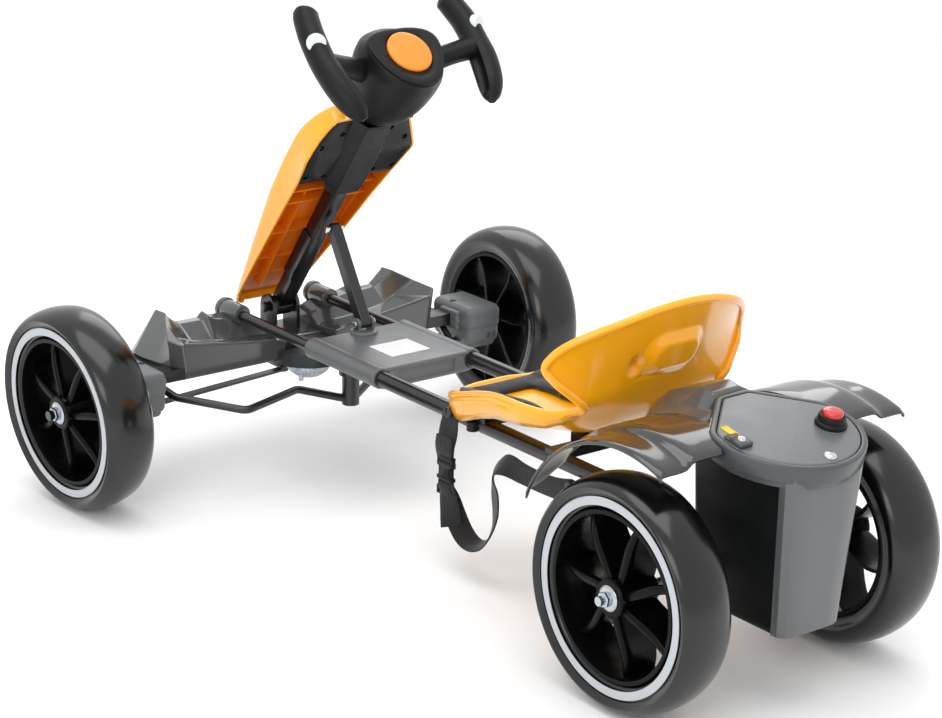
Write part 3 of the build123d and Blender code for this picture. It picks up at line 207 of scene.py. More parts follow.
def slab(name, low, high, round_off=2.0, segments=3):
    """A block between two corners, its edges rounded."""
    low, high = Vector(low), Vector(high)
    bpy.ops.object.select_all(action="DESELECT")
    bpy.ops.mesh.primitive_cube_add(size=1)
    piece = fresh(name)
    size = high - low
    piece.data.transform(Matrix.Translation((low + high) / 2) @ Matrix.Diagonal((*size, 1)))
    if round_off:
        rounded(piece, round_off, segments)
    return piece


def peg(name, start, end, radius, round_off=0.8, sides=40):
    """A round bar between two places with softened ends."""
    start, end = Vector(start), Vector(end)
    run = end - start
    bpy.ops.object.select_all(action="DESELECT")
    bpy.ops.mesh.primitive_cone_add(vertices=sides, radius1=radius * MM, radius2=radius * MM,
        depth=run.length)
    piece = fresh(name)
    turn = Vector((0, 0, 1)).rotation_difference(run).to_matrix().to_4x4()
    piece.data.transform(Matrix.Translation((start + end) / 2) @ turn)
    if round_off:
        rounded(piece, round_off, 3)
    return piece


def tube_along(name, places, radius, sides=20, closed=False):
    """A round bar whose middle line follows the places."""
    rows = []
    count = len(places)
    normal = None
    for index, place in enumerate(places):
        before = places[index - 1] if index or closed else place
        after = places[(index + 1) % count] if index < count - 1 or closed else place
        run = (after - before).normalized()
        if normal is None:
            normal = run.orthogonal().normalized()
        normal = (normal - run * normal.dot(run)).normalized()
        side = run.cross(normal)
        reach = radius[index] if isinstance(radius, (list, tuple)) else radius
        rows.append([place + (normal * cos(a) + side * sin(a)) * reach * MM
            for a in (tau * step / sides for step in range(sides))])
    if closed:
        rows.append(rows[0])
    return skin(name, rows, ring=True, ends=not closed)


def smooth_path(places, parts=8):
    """More places on a rounded line through a few."""
    found = []
    for index in range(len(places) - 1):
        a = places[max(index - 1, 0)]
        b, c = places[index], places[index + 1]
        d = places[min(index + 2, len(places) - 1)]
        for step in range(parts):
            t = step / parts
            found.append(0.5 * ((2 * b) + (c - a) * t + (2 * a - 5 * b + 4 * c - d) * t * t
                + (3 * b - a - 3 * c + d) * t ** 3))
    return found + [places[-1]]


def joined(name, pieces):
    """Several pieces made one."""
    bpy.ops.object.select_all(action="DESELECT")
    for piece in pieces:
        piece.select_set(True)
    bpy.context.view_layer.objects.active = pieces[0]
    bpy.ops.object.join()
    return fresh(name)


def cut(piece, tool):
    """Cuts one piece with another, which is then removed."""
    modify(piece, "BOOLEAN", operation="DIFFERENCE", object=tool, solver="EXACT")
    bpy.data.objects.remove(tool)
    return piece


def copied(piece, name, matrix):
    """A copy with its own mesh, put in another place."""
    twin = piece.copy()
    twin.data = piece.data.copy()
    titled(twin, name)
    bpy.context.scene.collection.objects.link(twin)
    twin.data.transform(matrix)
    if matrix.determinant() < 0:
        twin.data.flip_normals()
    return twin


MIRROR = Matrix.Diagonal((1, -1, 1, 1))


def fit(piece, body, material, finish, *nodes):
    """Gives a finished piece its material and body and hides the nodes it stands for; the finish it is given
    is not used.
    """
    piece.data.materials.clear()
    piece.data.materials.append(material)
    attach(piece, body)
    if nodes:
        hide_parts(*nodes)
    return piece


# ---------------------------------------------------------------- finishes
def colour(code):
    """sRGB hex to linear."""
    levels = [int(code[i:i + 2], 16) / 255 for i in (1, 3, 5)]
    return tuple(v / 12.92 if v <= 0.04045 else ((v + 0.055) / 1.055) ** 2.4 for v in levels) + (1.0,)


def add(tree, kind, settings=None, inputs=None):
    """Adds a node with its settings; each input is a value or the socket that feeds it."""
    made = tree.nodes.new(kind)
    for name, value in (settings or {}).items():
        setattr(made, name, value)
    for name, value in (inputs or {}).items():
        if isinstance(value, bpy.types.NodeSocket):
            tree.links.new(value, made.inputs[name])
        else:
            made.inputs[name].default_value = value
    return made


def surface(name, inputs):
    """A new material with its shader's plain values set; returns its parts."""
    made = bpy.data.materials.new(name)
    made.use_nodes = True
    tree = made.node_tree
    shader = tree.nodes["Principled BSDF"]
    for key, value in inputs.items():
        shader.inputs[key].default_value = value
    place = add(tree, "ShaderNodeTexCoord").outputs["Object"]
    return made, tree, shader, place


def noise(tree, place, scale, detail):
    """Cloudy noise, so many cells to the metre."""
    return add(tree, "ShaderNodeTexNoise", inputs={"Vector": place, "Scale": scale,
        "Detail": detail}).outputs["Fac"]


def tint(tree, shader, share, first, second):
    """Lets the colour wander from a first shade to a second."""
    mix = add(tree, "ShaderNodeMix", {"data_type": "RGBA"},
        {"Factor": share, "A": colour(first), "B": colour(second)})
    tree.links.new(mix.outputs["Result"], shader.inputs["Base Color"])


def gloss(tree, shader, share, low, high, start=0.0, full=1.0):
    """Lets the roughness wander between two values."""
    ranged = add(tree, "ShaderNodeMapRange", inputs={"Value": share, "From Min": start, "From Max": full,
        "To Min": low, "To Max": high})
    tree.links.new(ranged.outputs["Result"], shader.inputs["Roughness"])


def relief(tree, shader, height, strength, distance):
    """Roughens the surface by a height, its distance in metres."""
    bumps = add(tree, "ShaderNodeBump", inputs={"Height": height, "Strength": strength, "Distance": distance})
    tree.links.new(bumps.outputs["Normal"], shader.inputs["Normal"])


def moulding(name, light, dark, roughness, spread=0.05, grain=0.9, depth=0.004, coat=0.0, cloud=60.0,
        shine=0.5):
    """An injection-moulded plastic: faint cloudy colour, uneven gloss and a fine tool texture."""
    made, tree, shader, place = surface(name, {"IOR": 1.5, "Coat Weight": coat, "Coat Roughness": 0.08,
        "Specular IOR Level": shine})
    tint(tree, shader, noise(tree, place, 1000 / cloud, 3.0), light, dark)
    gloss(tree, shader, noise(tree, place, 1000 / (cloud / 3), 4.0), roughness - spread, roughness + spread,
        0.3, 0.7)
    relief(tree, shader, noise(tree, place, 1000 / grain, 2.0), 0.35, depth * MM * 10)
    return made


def metal(name, light, dark, roughness, grain=1.2, depth=0.01, cloud=14.0):
    """A plated metal with a clouded finish."""
    made, tree, shader, place = surface(name, {"Metallic": 1.0, "Coat Weight": 0.0})
    broad = noise(tree, place, 1000 / cloud, 4.0)
    tint(tree, shader, broad, light, dark)
    gloss(tree, shader, broad, roughness * 0.7, roughness * 1.5)
    relief(tree, shader, noise(tree, place, 1000 / grain, 3.0), 0.2, depth * MM)
    return made


def powder_coat(name, light, dark, roughness):
    """Baked powder paint on steel: glossy, with the soft ripple of orange peel, about 1.5 mm across."""
    made, tree, shader, place = surface(name, {"IOR": 1.5, "Coat Weight": 0.35, "Coat Roughness": 0.12})
    broad = noise(tree, place, 25.0, 4.0)
    tint(tree, shader, broad, light, dark)
    gloss(tree, shader, broad, roughness - 0.06, roughness + 0.08)
    relief(tree, shader, noise(tree, place, 1000 / 1.5, 1.0), 0.25, 0.0001)
    return made


def woven(name, light, dark, pitch, twill=0.0):
    """Woven black threads: two crossing sets, dull, with a slight sheen."""
    made, tree, shader, place = surface(name, {"Roughness": 0.86, "Sheen Weight": 0.25,
        "Sheen Roughness": 0.5})
    bent = add(tree, "ShaderNodeMapping", inputs={"Vector": place,
        "Rotation": (0, 0, twill)}).outputs["Vector"]
    heights = [add(tree, "ShaderNodeTexWave", {"bands_direction": direction},
        {"Vector": bent, "Scale": 1000 / pitch / tau * 2, "Distortion": 0.6, "Detail": 1.0}).outputs["Fac"]
        for direction in ("X", "Y")]
    cross = add(tree, "ShaderNodeMath", {"operation": "MULTIPLY"},
        {0: heights[0], 1: heights[1]}).outputs["Value"]
    tint(tree, shader, cross, dark, light)
    relief(tree, shader, cross, 0.6, 0.0004)
    return made


# Blow-moulded polyethylene tyre: satin black, faintly waxy, with the polish of its mould.
TYRE = moulding("moulded_polyethylene_tyre", "#090b0d", "#070809", 0.21, 0.04, grain=0.9, depth=0.004,
    cloud=80, coat=0.15, shine=0.5)
# Light grey pad-printed ring on the tyre's outer wall, matte like thick paint.
STRIPE = moulding("printed_stripe", "#bcc0c4", "#b2b6ba", 0.5, 0.05, grain=0.6, depth=0.003)
# Black polypropylene rim, glossy from a polished mould.
RIM = moulding("moulded_polypropylene_rim", "#070809", "#050607", 0.27, 0.06, grain=1.1, depth=0.005,
    cloud=50, shine=0.12)
# Dark grey ABS covers with a high gloss.
SHELL = moulding("glossy_abs_covers", "#4c4e4f", "#454748", 0.13, 0.03, grain=1.6, depth=0.002, coat=0.5,
    cloud=120)
# The deck box and lid: grey ABS with a satin tool texture; the lid is a little lighter than the band of the
# same ABS, as painted reflection on its face.
DECK = moulding("satin_abs_deck", "#616466", "#5a5d5f", 0.33, 0.05, grain=0.8, depth=0.006, cloud=90)
LID_WITH_PAINTED_REFLECTION = moulding("satin_abs_lid_with_painted_reflection", "#66696b", "#5e6163", 0.3, 0.04, grain=0.8, depth=0.006, cloud=90)
# The band round the lid: the same ABS, a little darker.
COLLAR = moulding("satin_abs_band", "#494c4e", "#434648", 0.28, 0.04, grain=0.8, depth=0.005, cloud=90)
# The battery box is one moulding in two tones: the tub's sides are a satin near black, painted shade from the
# wheel beside them, and the face behind it is grey and glossy.
TUB_IN_PAINTED_SHADE = moulding("abs_tub_in_painted_shade", "#0d0f11", "#0a0c0d", 0.36, 0.05, grain=0.8, depth=0.008, cloud=80,
    shine=0.25)
BOX_FACE = moulding("glossy_abs_box_face", "#5a5d5f", "#525557", 0.2, 0.04, grain=1.2, depth=0.003, coat=0.3,
    cloud=110)
# Knuckle covers: semi-matte ABS.
COVER = moulding("semi_matte_abs", "#606365", "#595c5e", 0.42, 0.05, grain=0.7, depth=0.01, cloud=60)
# Skirts, housings and what stands inside the box.
BOX = moulding("satin_black_abs_box", "#2b2e30", "#232628", 0.36, 0.05, grain=0.8, depth=0.008, cloud=80)
# Yellow-orange ABS of the fairing and seat, glossy as it leaves the mould.
YELLOW = moulding("glossy_yellow_abs", "#ffb010", "#fca80a", 0.2, 0.03, grain=1.8, depth=0.002, coat=0.4,
    cloud=140)
# Dark cover over the column: satin black ABS.
UPPER_COVER = moulding("satin_black_abs_cover", "#191b1d", "#151719", 0.3, 0.05, grain=0.8, depth=0.006,
    cloud=70, shine=0.25)
# Horn button: the same orange, satin.
ORANGE = moulding("satin_orange_abs", "#ee8f2a", "#e88621", 0.38, 0.04, grain=0.5, depth=0.008)
# Steering wheel: black polypropylene with a fine sparked texture.
GRIP = moulding("sparked_polypropylene", "#0f1113", "#0c0d0f", 0.43, 0.05, grain=0.45, depth=0.02, cloud=40,
    shine=0.25)
# The fairing's inner side and its ribs: the same yellow ABS, darkened to a deeper orange as painted shade
# inside the fairing.
YELLOW_IN_PAINTED_SHADE = moulding("yellow_abs_in_painted_shade", "#ec7d10", "#e4720b", 0.25, 0.03, grain=1.8, depth=0.002, coat=0.2,
    cloud=140)
# Fenders: the same glossy ABS as the front body, a shade darker.
FENDER = moulding("glossy_abs_fenders", "#2c2d2e", "#272829", 0.12, 0.03, grain=1.6, depth=0.002, coat=0.5,
    cloud=120)
SWITCH = moulding("black_nylon_switch", "#101214", "#0c0e10", 0.35, 0.04, grain=0.6, depth=0.006, shine=0.25)
RED = moulding("red_acrylic_button", "#cf1f24", "#b8161b", 0.2, 0.03, grain=1.2, depth=0.003, coat=0.6)
WHITE = moulding("white_abs_button", "#dfe3e6", "#d3d8dc", 0.35, 0.04, grain=0.6, depth=0.004)
PAPER = moulding("blank_paper_label", "#e6e7ea", "#dcdee2", 0.55, 0.05, grain=0.5, depth=0.002, cloud=20)
YELLOW_FILM = moulding("blank_yellow_film", "#f0d013", "#e6c40e", 0.4, 0.04, grain=0.5, depth=0.002, cloud=20)
# Near black painted shade, set inside the cover's screw wells, a screw hole in the hub and the gap round the
# horn button.
RECESS_PAINTED_SHADE = moulding("painted_recess_shade", "#101214", "#0b0c0e", 0.6, 0.05, grain=0.8, depth=0.004)
BLACK_STEEL = powder_coat("black_powder_coated_steel", "#0d0e10", "#090a0b", 0.3)
# Zinc plate: bright, bluish and slightly clouded.
ZINC = metal("zinc_plated_steel", "#c9cfd4", "#a9b0b6", 0.25)
CHROME = metal("chromed_steel", "#dfe2e4", "#cfd2d4", 0.07, cloud=30)
WEAVE = woven("black_polyester_weave", "#2a2c2f", "#0d0e10", 2.4)
WEBBING = woven("black_polypropylene_webbing", "#131416", "#08090a", 2.0, twill=radians(45))


# ---------------------------------------------------------------- wheels
def wheel_place(joint, side, turn):
    """Where a wheel stands: its hub, its outer face and how far round it is turned."""
    facts = JOINTS[joint]
    outward = Vector(facts["axis"]) * side
    upright = Vector((0, 0, 1)).rotation_difference(outward).to_matrix().to_4x4()
    return Matrix.Translation(facts["pos_m"]) @ upright @ Matrix.Rotation(radians(turn), 4, "Z")


TYRE_PROFILE = [(91, 19), (93.5, 22.5), (95.2, 23.4), (95.4, 26.2), (105.2, 26.2), (105.6, 24.9),
    (106.6, 24.9), (107.2, 26.4), (112.6, 30.2), (114.3, 30.6), (116.4, 29.4), (119.4, 25.4), (121.9, 20),
    (123.7, 13), (124.7, 6), (125, 0), (124.6, -8), (123.2, -17), (120.6, -25.4), (117, -31.5),
    (112.5, -35.6), (107.5, -37.6), (103, -37.2), (99.5, -35), (97.5, -34.2), (93.5, -33.4), (91, -31)]
tyre = turned("tyre", TYRE_PROFILE, steps=160, smooth=28)
stripe = turned("stripe", [(95.9, 26.1), (95.9, 26.7), (104.8, 26.7), (104.8, 26.1)], steps=160)

RIM_PROFILE = [(86, 23.5), (90.4, 23.5), (91, 22.6), (91, -31), (90, -32), (86, -32), (84.6, -28), (84, 0),
    (84.6, 18)]
barrel = turned("barrel", RIM_PROFILE, steps=128)
HUB_PROFILE = [(6.05, -28), (16, -28), (17, -26), (17.5, 17), (20.4, 20.5), (20.6, 24.5), (19, 26), (11, 26),
    (10.2, 25.2), (6.05, 25.2)]
hub = turned("hub", HUB_PROFILE, steps=64)


BLADES, BLADE_ROOT, BLADE_TIP = 7, 14, 86


def wheel_blade(turn):
    """One deep blade of the rim: its rounded front edge sinks from the hub towards the barrel."""
    rows = []
    for step in range(15):
        share = step / 14
        radius = BLADE_ROOT + (BLADE_TIP - BLADE_ROOT) * share
        lean = radians(turn + 10 * sin(share * pi * 0.8))
        front = 20 - 9 * share ** 1.5
        back = -27 - 2 * share
        half = 4.3 + 1.2 * sin(share * pi)
        slope = lean + radians(94)
        middle = Vector((radius * cos(lean), radius * sin(lean), 0))
        across = Vector((cos(slope), sin(slope), 0))
        section = ((-1, front - 3.4), (-0.74, front - 0.9), (0, front), (0.74, front - 0.9), (1, front - 3.4),
            (0.72, front - 11), (0.5, back), (0, back - 0.6), (-0.5, back), (-0.72, front - 11))
        rows.append([(middle + across * half * offset + Vector((0, 0, height))) * MM
            for offset, height in section])
    return skin("blade", rows, ring=True, ends=True, smooth=60)


blades = [wheel_blade(index * 360 / BLADES) for index in range(BLADES)]
rim = shaded(joined("rim", [barrel, hub] + blades), 50)

washer = turned("washer", [(5.2, 26.1), (13.4, 26.1), (13.8, 26.7), (13, 27.5), (9.4, 28.4), (5.2, 28.4)],
    steps=48)
NUT_MIDDLE = Matrix.Translation((0, 0, 31.2 * MM))
bpy.ops.object.select_all(action="DESELECT")
bpy.ops.mesh.primitive_cylinder_add(vertices=6, radius=8.6 * MM, depth=6 * MM)
nut = fresh("nut")
nut.data.transform(NUT_MIDDLE)
rounded(nut, 0.7, 2)
stud = turned("stud", [(0, 33), (5, 33), (5, 38.6), (4.2, 39.6), (2.6, 39.6), (2.4, 38.6), (0, 38.6)],
    steps=32)
hardware = joined("hardware", [washer, nut, stud])

# How far round each wheel stands.
WHEEL_TURNS = {"front_left": 27, "rear_left": -11, "front_right": 4, "rear_right": 30}
for name, side in SIDES.items():
    for end in ("front", "rear"):
        key = end + "_" + name
        place = wheel_place(end + "_wheel_spin_" + name, side, WHEEL_TURNS[key])
        body = end + "_wheel_" + name
        fit(copied(tyre, "moulded_tyre_" + key, place), body, TYRE, "tyre_foam", end + "_tyre_" + name)
        fit(copied(stripe, "tyre_stripe_" + key, place), body, STRIPE, "tyre_foam")
        fit(copied(rim, "spoked_rim_" + key, place), body, RIM, "rim_black", end + "_rim_" + name)
        fit(copied(hardware, "wheel_nut_" + key, place), body, ZINC, "zinc")
for start in (tyre, stripe, rim, hardware):
    bpy.data.objects.remove(start)


# ---------------------------------------------------------------- front axle
def knuckle_cover(name, side):
    """Moulded cover on the beam's end: two halves, a screw well, rear slots, and a flange round the beam."""
    def part(label, x0, x1, y0, y1, z0, z1, edge):
        near, far = sorted((side * y0, side * y1))
        return slab(label, spot(x0, near, z0), spot(x1, far, z1), edge, 5)

    def screw_at(height):
        return spot(803, side * 240, height)

    upper = part("cover_upper", 755, 838, 230, 286, 131, 163.6, 9.5)
    lower = part("cover_lower", 756.6, 836.4, 231.6, 284.4, 112, 142, 8)
    base = part("cover_base", 760, 833, 236, 280, 106, 124, 6)
    cut(upper, peg("well", screw_at(158.5), screw_at(168), 4.6, 0, 32))
    for y0, y1 in ((262, 268), (271, 277)):
        cut(lower, part("slot", 750, 760.5, y0, y1, 119, 127, 1))
    flange = part("flange", 774, 812, 224, 234, 131, 157, 3)
    boss = peg("flange_boss", spot(778, side * 227, 146), spot(772, side * 227, 146), 4.5, sides=24)
    shell = shaded(joined("knuckle_cover_shell_" + name, [upper, lower, base, flange, boss]), 40)
    fit(shell, "chassis", COVER, "grey_gloss", "knuckle_cover_" + name)
    screw = peg("cover_screw_" + name, screw_at(157), screw_at(160), 3.8, sides=24)
    fit(screw, "chassis", ZINC, "zinc")


for name, side in SIDES.items():
    knuckle_cover(name, side)


def painted(node, material):
    """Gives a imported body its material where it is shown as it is."""
    carried = frame["nodes"][node]
    carried.data.materials.clear()
    carried.data.materials.append(material)
    return carried


for node in ("steering_knuckle_", "tie_bar_", "frame_rail_", "brace_rod_", "axle_hanger_"):
    for name in SIDES:
        painted(node + name, BLACK_STEEL)
SHOWN = {BLACK_STEEL: ("axle_beam", "column_bracket", "steering_crank", "centre_post", "seat_mount"),
    ZINC: ("rear_axle",), BOX: ("battery", "drive_motor", "swivel_housing")}
for material, nodes in SHOWN.items():
    for node in nodes:
        shaded(painted(node, material), 40)


def foot_body():
    """Front body over the beam: shelf, foot ramps with a ridge and a valley, and the outer guard."""
    # Across the kart, each outline runs from the rear skirt over shelf, foot and ramp to the front edge.
    upright = [(38, [(788, 137.5), (787, 160), (830, 158), (846, 168), (872, 172), (888, 166), (892, 132)]),
        (64, [(786, 137.5), (785, 166), (832, 160), (848, 178), (872, 184), (888, 172), (893, 130)]),
        (100, [(785, 137.5), (785, 170), (832, 162), (852, 184), (873, 185), (889, 172), (893, 130)]),
        (109, [(785, 137.5), (785, 171), (833, 162.5), (853, 187), (868, 190), (889, 172), (893, 130)]),
        (113, [(785, 137.5), (785, 171.5), (834, 163), (853, 191), (867, 194), (889, 172), (893, 130)]),
        (119, [(785, 137.5), (785, 172.5), (834, 163), (856, 184), (868, 186), (889, 171), (893, 130)])]
    leaning = [[(785, 150, 137.5), (785, 154, 177), (836, 148, 167), (862, 150, 183.5), (872, 150, 184.5),
        (889, 150, 170), (892, 150, 130)], [(786, 184, 138), (787, 190, 182), (838, 168, 174),
        (853, 171, 199), (876, 172, 200), (890, 172, 173), (892, 172, 130)],
        [(790, 190, 138), (800, 205, 188), (826, 190, 196), (853, 175, 205), (877, 175, 204), (890, 177, 176),
        (892, 177, 130)], [(800, 196, 138), (800, 199, 151), (830, 206, 151), (855, 211, 152),
        (878, 207, 152), (890, 204, 150), (892, 203, 130)]]
    stations = [[(x, y, z) for x, z in outline] for y, outline in upright] + leaning
    return skin("foot_body", [[spot(*place) for place in outline] for outline in stations], ring=True,
        ends=True, smooth=25)


left_foot = foot_body()
rounded(left_foot, 1.8, 3, 22)
right_foot = copied(left_foot, "foot_body_right", MIRROR)
sleeves = []
for side in SIDES.values():
    for start, end, radius, edge in ((842, 884, 13, 2.5), (878, 886, 14.6, 2)):
        sleeves.append(peg("sleeve", spot(start, side * RAIL_Y, RAIL_Z), spot(end, side * RAIL_Y, RAIL_Z),
            radius, edge))
middle = slab("middle", spot(818, -40, 134), spot(892, 40, 153), 3)
SHELF_EDGE = ((38, 160), (64, 166), (100, 170), (119, 172.5), (152, 177), (188, 182))
lips = []
for side in (-1, 1):
    lips.append(tube_along("lip", [spot(785.6, side * y, z + 0.6) for y, z in SHELF_EDGE], 1.5, 10))
front_body = joined("moulded_front_body", [left_foot, right_foot, middle] + sleeves + lips)
fit(front_body, "chassis", SHELL, "grey_gloss", "front_body")

skirts = []
for side in SIDES.values():
    near, far = sorted((side * 188, side * 229))
    skirts.append(slab("skirt", spot(806, near, 131), spot(884, far, 148.5), 3, 3))
fit(joined("front_body_skirts", skirts), "chassis", BOX, "box_black")

# ---------------------------------------------------------------- swivel and post
CUP_X, CUP_RIBS = 793, 26
CUP_SIDE = ((109.5, 16.4), (115.6, 24.4), (120.5, 27.8), (130, 28))
cup_profile = [(0, 107.5), (12, 107.5), (16, 108.2), (17.4, 110), (24.6, 116), (27.4, 119), (28, 121),
    (28, 130.5), (27, 131.8), (0, 131.8)]
cup = turned("cup", cup_profile, 72)
cup.data.transform(Matrix.Translation(spot(CUP_X, 0, 0)))
ribs = []
for step in range(CUP_RIBS):
    angle = tau * step / CUP_RIBS
    out = Vector((cos(angle), sin(angle), 0))
    ribs.append(tube_along("rib", [spot(CUP_X, 0, z) + out * reach * MM for z, reach in CUP_SIDE], 1.1, 8))
clip = peg("clip", spot(786, 16, 104), spot(786, 16, 113), 3.4, sides=20)
fit(joined("ribbed_cup", [cup, clip] + ribs), "chassis", ZINC, "zinc", "swivel_disc")

# ---------------------------------------------------------------- deck
deck = slab("deck_plate", spot(540, -66, 170), spot(684, 66, DECK_TOP), 3.2, 4)
cut(deck, slab("panel", spot(538, -42, 174), spot(543, 42, 191), 1))
SLEEVE_PROFILE = [(9.7, -72), (12.2, -72), (12.8, -71), (12.8, -64), (12.4, -60), (12.4, 60), (12.8, 64),
    (12.8, 71), (12.2, 72), (6.7, 72), (6.7, 10), (9.7, 0)]
deck_pieces = [deck]
for side in SIDES.values():
    sleeve = turned("sleeve", SLEEVE_PROFILE, 64)
    place = Matrix.Translation(spot(612, side * RAIL_Y, RAIL_Z))
    sleeve.data.transform(place @ Matrix.Rotation(pi / 2, 4, "Y"))
    deck_pieces.append(sleeve)
foot_x, foot_z = STRUT_FOOT
deck_pieces.append(peg("strut_base", spot(foot_x, 0, 194), spot(foot_x, 0, 199.5), 17.5, 2.4, 64))
for side in SIDES.values():
    y0, y1 = sorted((side * 8.2, side * 11.8))
    deck_pieces += [cross_pin("lug", STRUT_FOOT, y0, y1, 7.6),
        slab("lug_base", spot(foot_x - 7, y0, 197), spot(foot_x + 7, y1, foot_z), 0.8)]
fit(joined("moulded_deck", deck_pieces), "chassis", DECK, "grey_gloss", "deck_box")
label = slab("blank_deck_label", spot(573, -28.5, DECK_TOP), spot(621, 28.5, DECK_TOP + 0.3), 0)
fit(label, "chassis", PAPER, "grey_gloss")


# ---------------------------------------------------------------- column
def column_slab(name, low, high, round_off=0.0, segments=3):
    """A block between two corners given along the column: run, left and ahead."""
    piece = slab(name, [value * MM for value in low], [value * MM for value in high], round_off, segments)
    for vertex in piece.data.vertices:
        vertex.co = on_column(*(vertex.co / MM))
    piece.data.flip_normals()
    return piece


def column_skin(name, rows, **settings):
    """A skin through rows of places given along the column."""
    return skin(name, [[on_column(*place) for place in row] for row in rows], **settings)


RIM_LINE = [(-22, 32.4), (141, 10.7), (192, 4.5), (246, -3.2), (288, -8.2), (296, -8.4), (306, -6),
    (322, -2.6), (336, -1.2), (350, -0.3)]


def between(table, value):
    """A value read off a table of pairs by straight lines."""
    for (a, b), (c, d) in zip(table, table[1:]):
        if a <= value <= c:
            return b + (d - b) * (value - a) / (c - a)
    return table[-1][1] if value > table[-1][0] else table[0][1]


def fairing_rim(run):
    """How far the fairing's rear rim stands ahead of the column's middle line."""
    return between(RIM_LINE, run)


# Half-widths of the fairing along the column, at its rear rim and at its front face.
RIM_HALF = [(-22, 31), (-21.4, 37), (-19, 42), (-15, 45), (-8, 46.4), (20, 50), (80, 56.2), (141, 62.2),
    (192, 66.8), (246, 72.4), (280, 78.2), (290, 80), (297, 79.6), (307, 75.6), (322, 69), (336, 62),
    (343, 58), (347, 54), (349.4, 48), (350, 40)]
FRONT_HALF = [(-22, 31), (-21.4, 36.5), (-19, 41.5), (-15, 44.5), (-8, 46), (80, 57), (193, 69.8),
    (248, 70.8), (285, 69), (303, 66.5), (327, 61), (340, 56), (347, 50), (349.4, 45), (350, 38)]
FAIRING_RUNS = (-22, -21.4, -19, -15, -8, 20, 80, 141, 192, 220, 246, 265, 280, 290, 297, 307, 322, 336, 343,
    347, 349.4, 350)


FRONT_FACE, CROWN_LEAN = 42, 17
CROWN_START, CROWN_END = 285, 350


def fairing_front(run):
    """The fairing's front face, straight and then leaning back over its crown."""
    crown = max(0.0, (run - CROWN_START) / (CROWN_END - CROWN_START))
    return FRONT_FACE - CROWN_LEAN * crown ** 1.8


def fairing_row(run, inset=0.0):
    """One cross-section of the fairing, from its left rim round the front to its right rim."""
    rim, front = fairing_rim(run) + inset * 0.4, fairing_front(run) - inset
    wide, half = between(RIM_HALF, run) - inset, between(FRONT_HALF, run) - inset
    edge = 11.0
    side = [(wide + (half - wide) * share, rim + (front - edge - rim) * share)
        for share in (0, 0.25, 0.5, 0.75, 1)]
    turns = [radians(step) for step in (18, 36, 54, 72)]
    corner = [(half - edge * (1 - cos(a)), front - edge * (1 - sin(a))) for a in turns]
    flat = [((half - edge) * share, front) for share in (1, 0.66, 0.33)]
    left = side + corner + flat
    across = left + [(0, front)] + [(-y, ahead) for y, ahead in reversed(left)]
    return [(run, y, ahead) for y, ahead in across]


fairing_rows = [fairing_row(run) for run in FAIRING_RUNS]
ends = fairing_rows[0], fairing_rows[-1]
foot_wall, top_wall = ([(run, y, fairing_rim(run)) for run, y, _ in row] for row in ends)
fairing = column_skin("moulded_fairing", [foot_wall] + fairing_rows + [top_wall], smooth=40)
thick(fairing, 3)
cut(fairing, column_slab("opening", (330, -17, -40), (360, 17, 17)))
rounded(fairing, 0.7, 2, 50)
fit(fairing, "column", YELLOW, "panel_yellow", "column_fairing")

# The lining inside the fairing, in the yellow darkened to orange as painted shade.
lining = column_skin("fairing_inside", [fairing_row(run, 3.25) for run in FAIRING_RUNS if -16 < run < 344],
    smooth=40)
fit(lining, "column", YELLOW_IN_PAINTED_SHADE, "panel_yellow")

# Ribs moulded inside the fairing, in the darker orange of painted shade.
ribs = []
for run in (24, 62, 120, 186, 212):
    half = between(FRONT_HALF, run) - 2.5
    ribs.append(column_slab("rib", (run, 2 - half, fairing_rim(run) + 9), (run + 2.4, half - 2, 40), 0.5, 2))
for left in (-24, 24):
    ribs.append(column_slab("wall", (14, left - 1.2, 22), (214, left + 1.2, 40), 0.5, 2))
fit(joined("fairing_ribs", ribs), "column", YELLOW_IN_PAINTED_SHADE, "panel_yellow")

# The dark cover: a plate flush with the rim and a low faceted hood over the column.
COVER_FOOT = 246
plate_rows = []
for run in (COVER_FOOT, 256, 268, 280, 290, 297, 307, 322, 336, 343, 346.5):
    half = between(RIM_HALF, run) - 3.4
    plate_rows.append([(run, half * share / 5, fairing_rim(run) + 1.2) for share in range(-5, 6)])
plate = column_skin("plate", plate_rows)
rounded(thick(plate, 3, 0), 0.7, 2, 50)
WELLS = [(run, side * left) for run, left in ((309.5, 61.3), (257.5, 64.5), (326, 36), (255, 37))
    for side in (1, -1)]


def column_pegs(name, low, high, radius):
    """Round bars along the cover's screw wells, between two heights over the fairing's rim."""
    return [peg(name, on_column(run, left, fairing_rim(run) + low),
        on_column(run, left, fairing_rim(run) + high), radius, 0, 20) for run, left in WELLS]


for tool in column_pegs("well", -6, 9, 3.7):
    cut(plate, tool)
hood_rows = []
for run, foot, top, high in ((230, 22, 16, -13.9), (232, 23.5, 17, -15.6), (240, 27.5, 18, -16.2),
        (250, 31, 18.5, -16.4), (290, 30, 18.5, -16.6), (320, 29, 18, -16.6), (343, 27, 17, -16.4),
        (349, 26, 16, -15.5)):
    base = fairing_rim(max(run, COVER_FOOT)) + 1.4
    section = [(foot, base), (foot - 1, base - 2), (top, high), (top * 0.4, high - 0.5)]
    hood_rows.append([(run, -y, ahead) for y, ahead in section] + [(run, y, ahead)
        for y, ahead in reversed(section)])
hood = column_skin("hood", hood_rows)
rounded(thick(hood, 2), 0.9, 3, 14)
fit(joined("column_cover_plate", [plate, hood]), "column", UPPER_COVER, "grip_black", "column_cover")
# Near black pegs behind the cover's screw wells: painted shade for the dark inside of the wells.
fit(joined("screw_well_painted_shade", column_pegs("cup", 3.2, 7, 4.4)), "column", RECESS_PAINTED_SHADE, "grey_gloss")

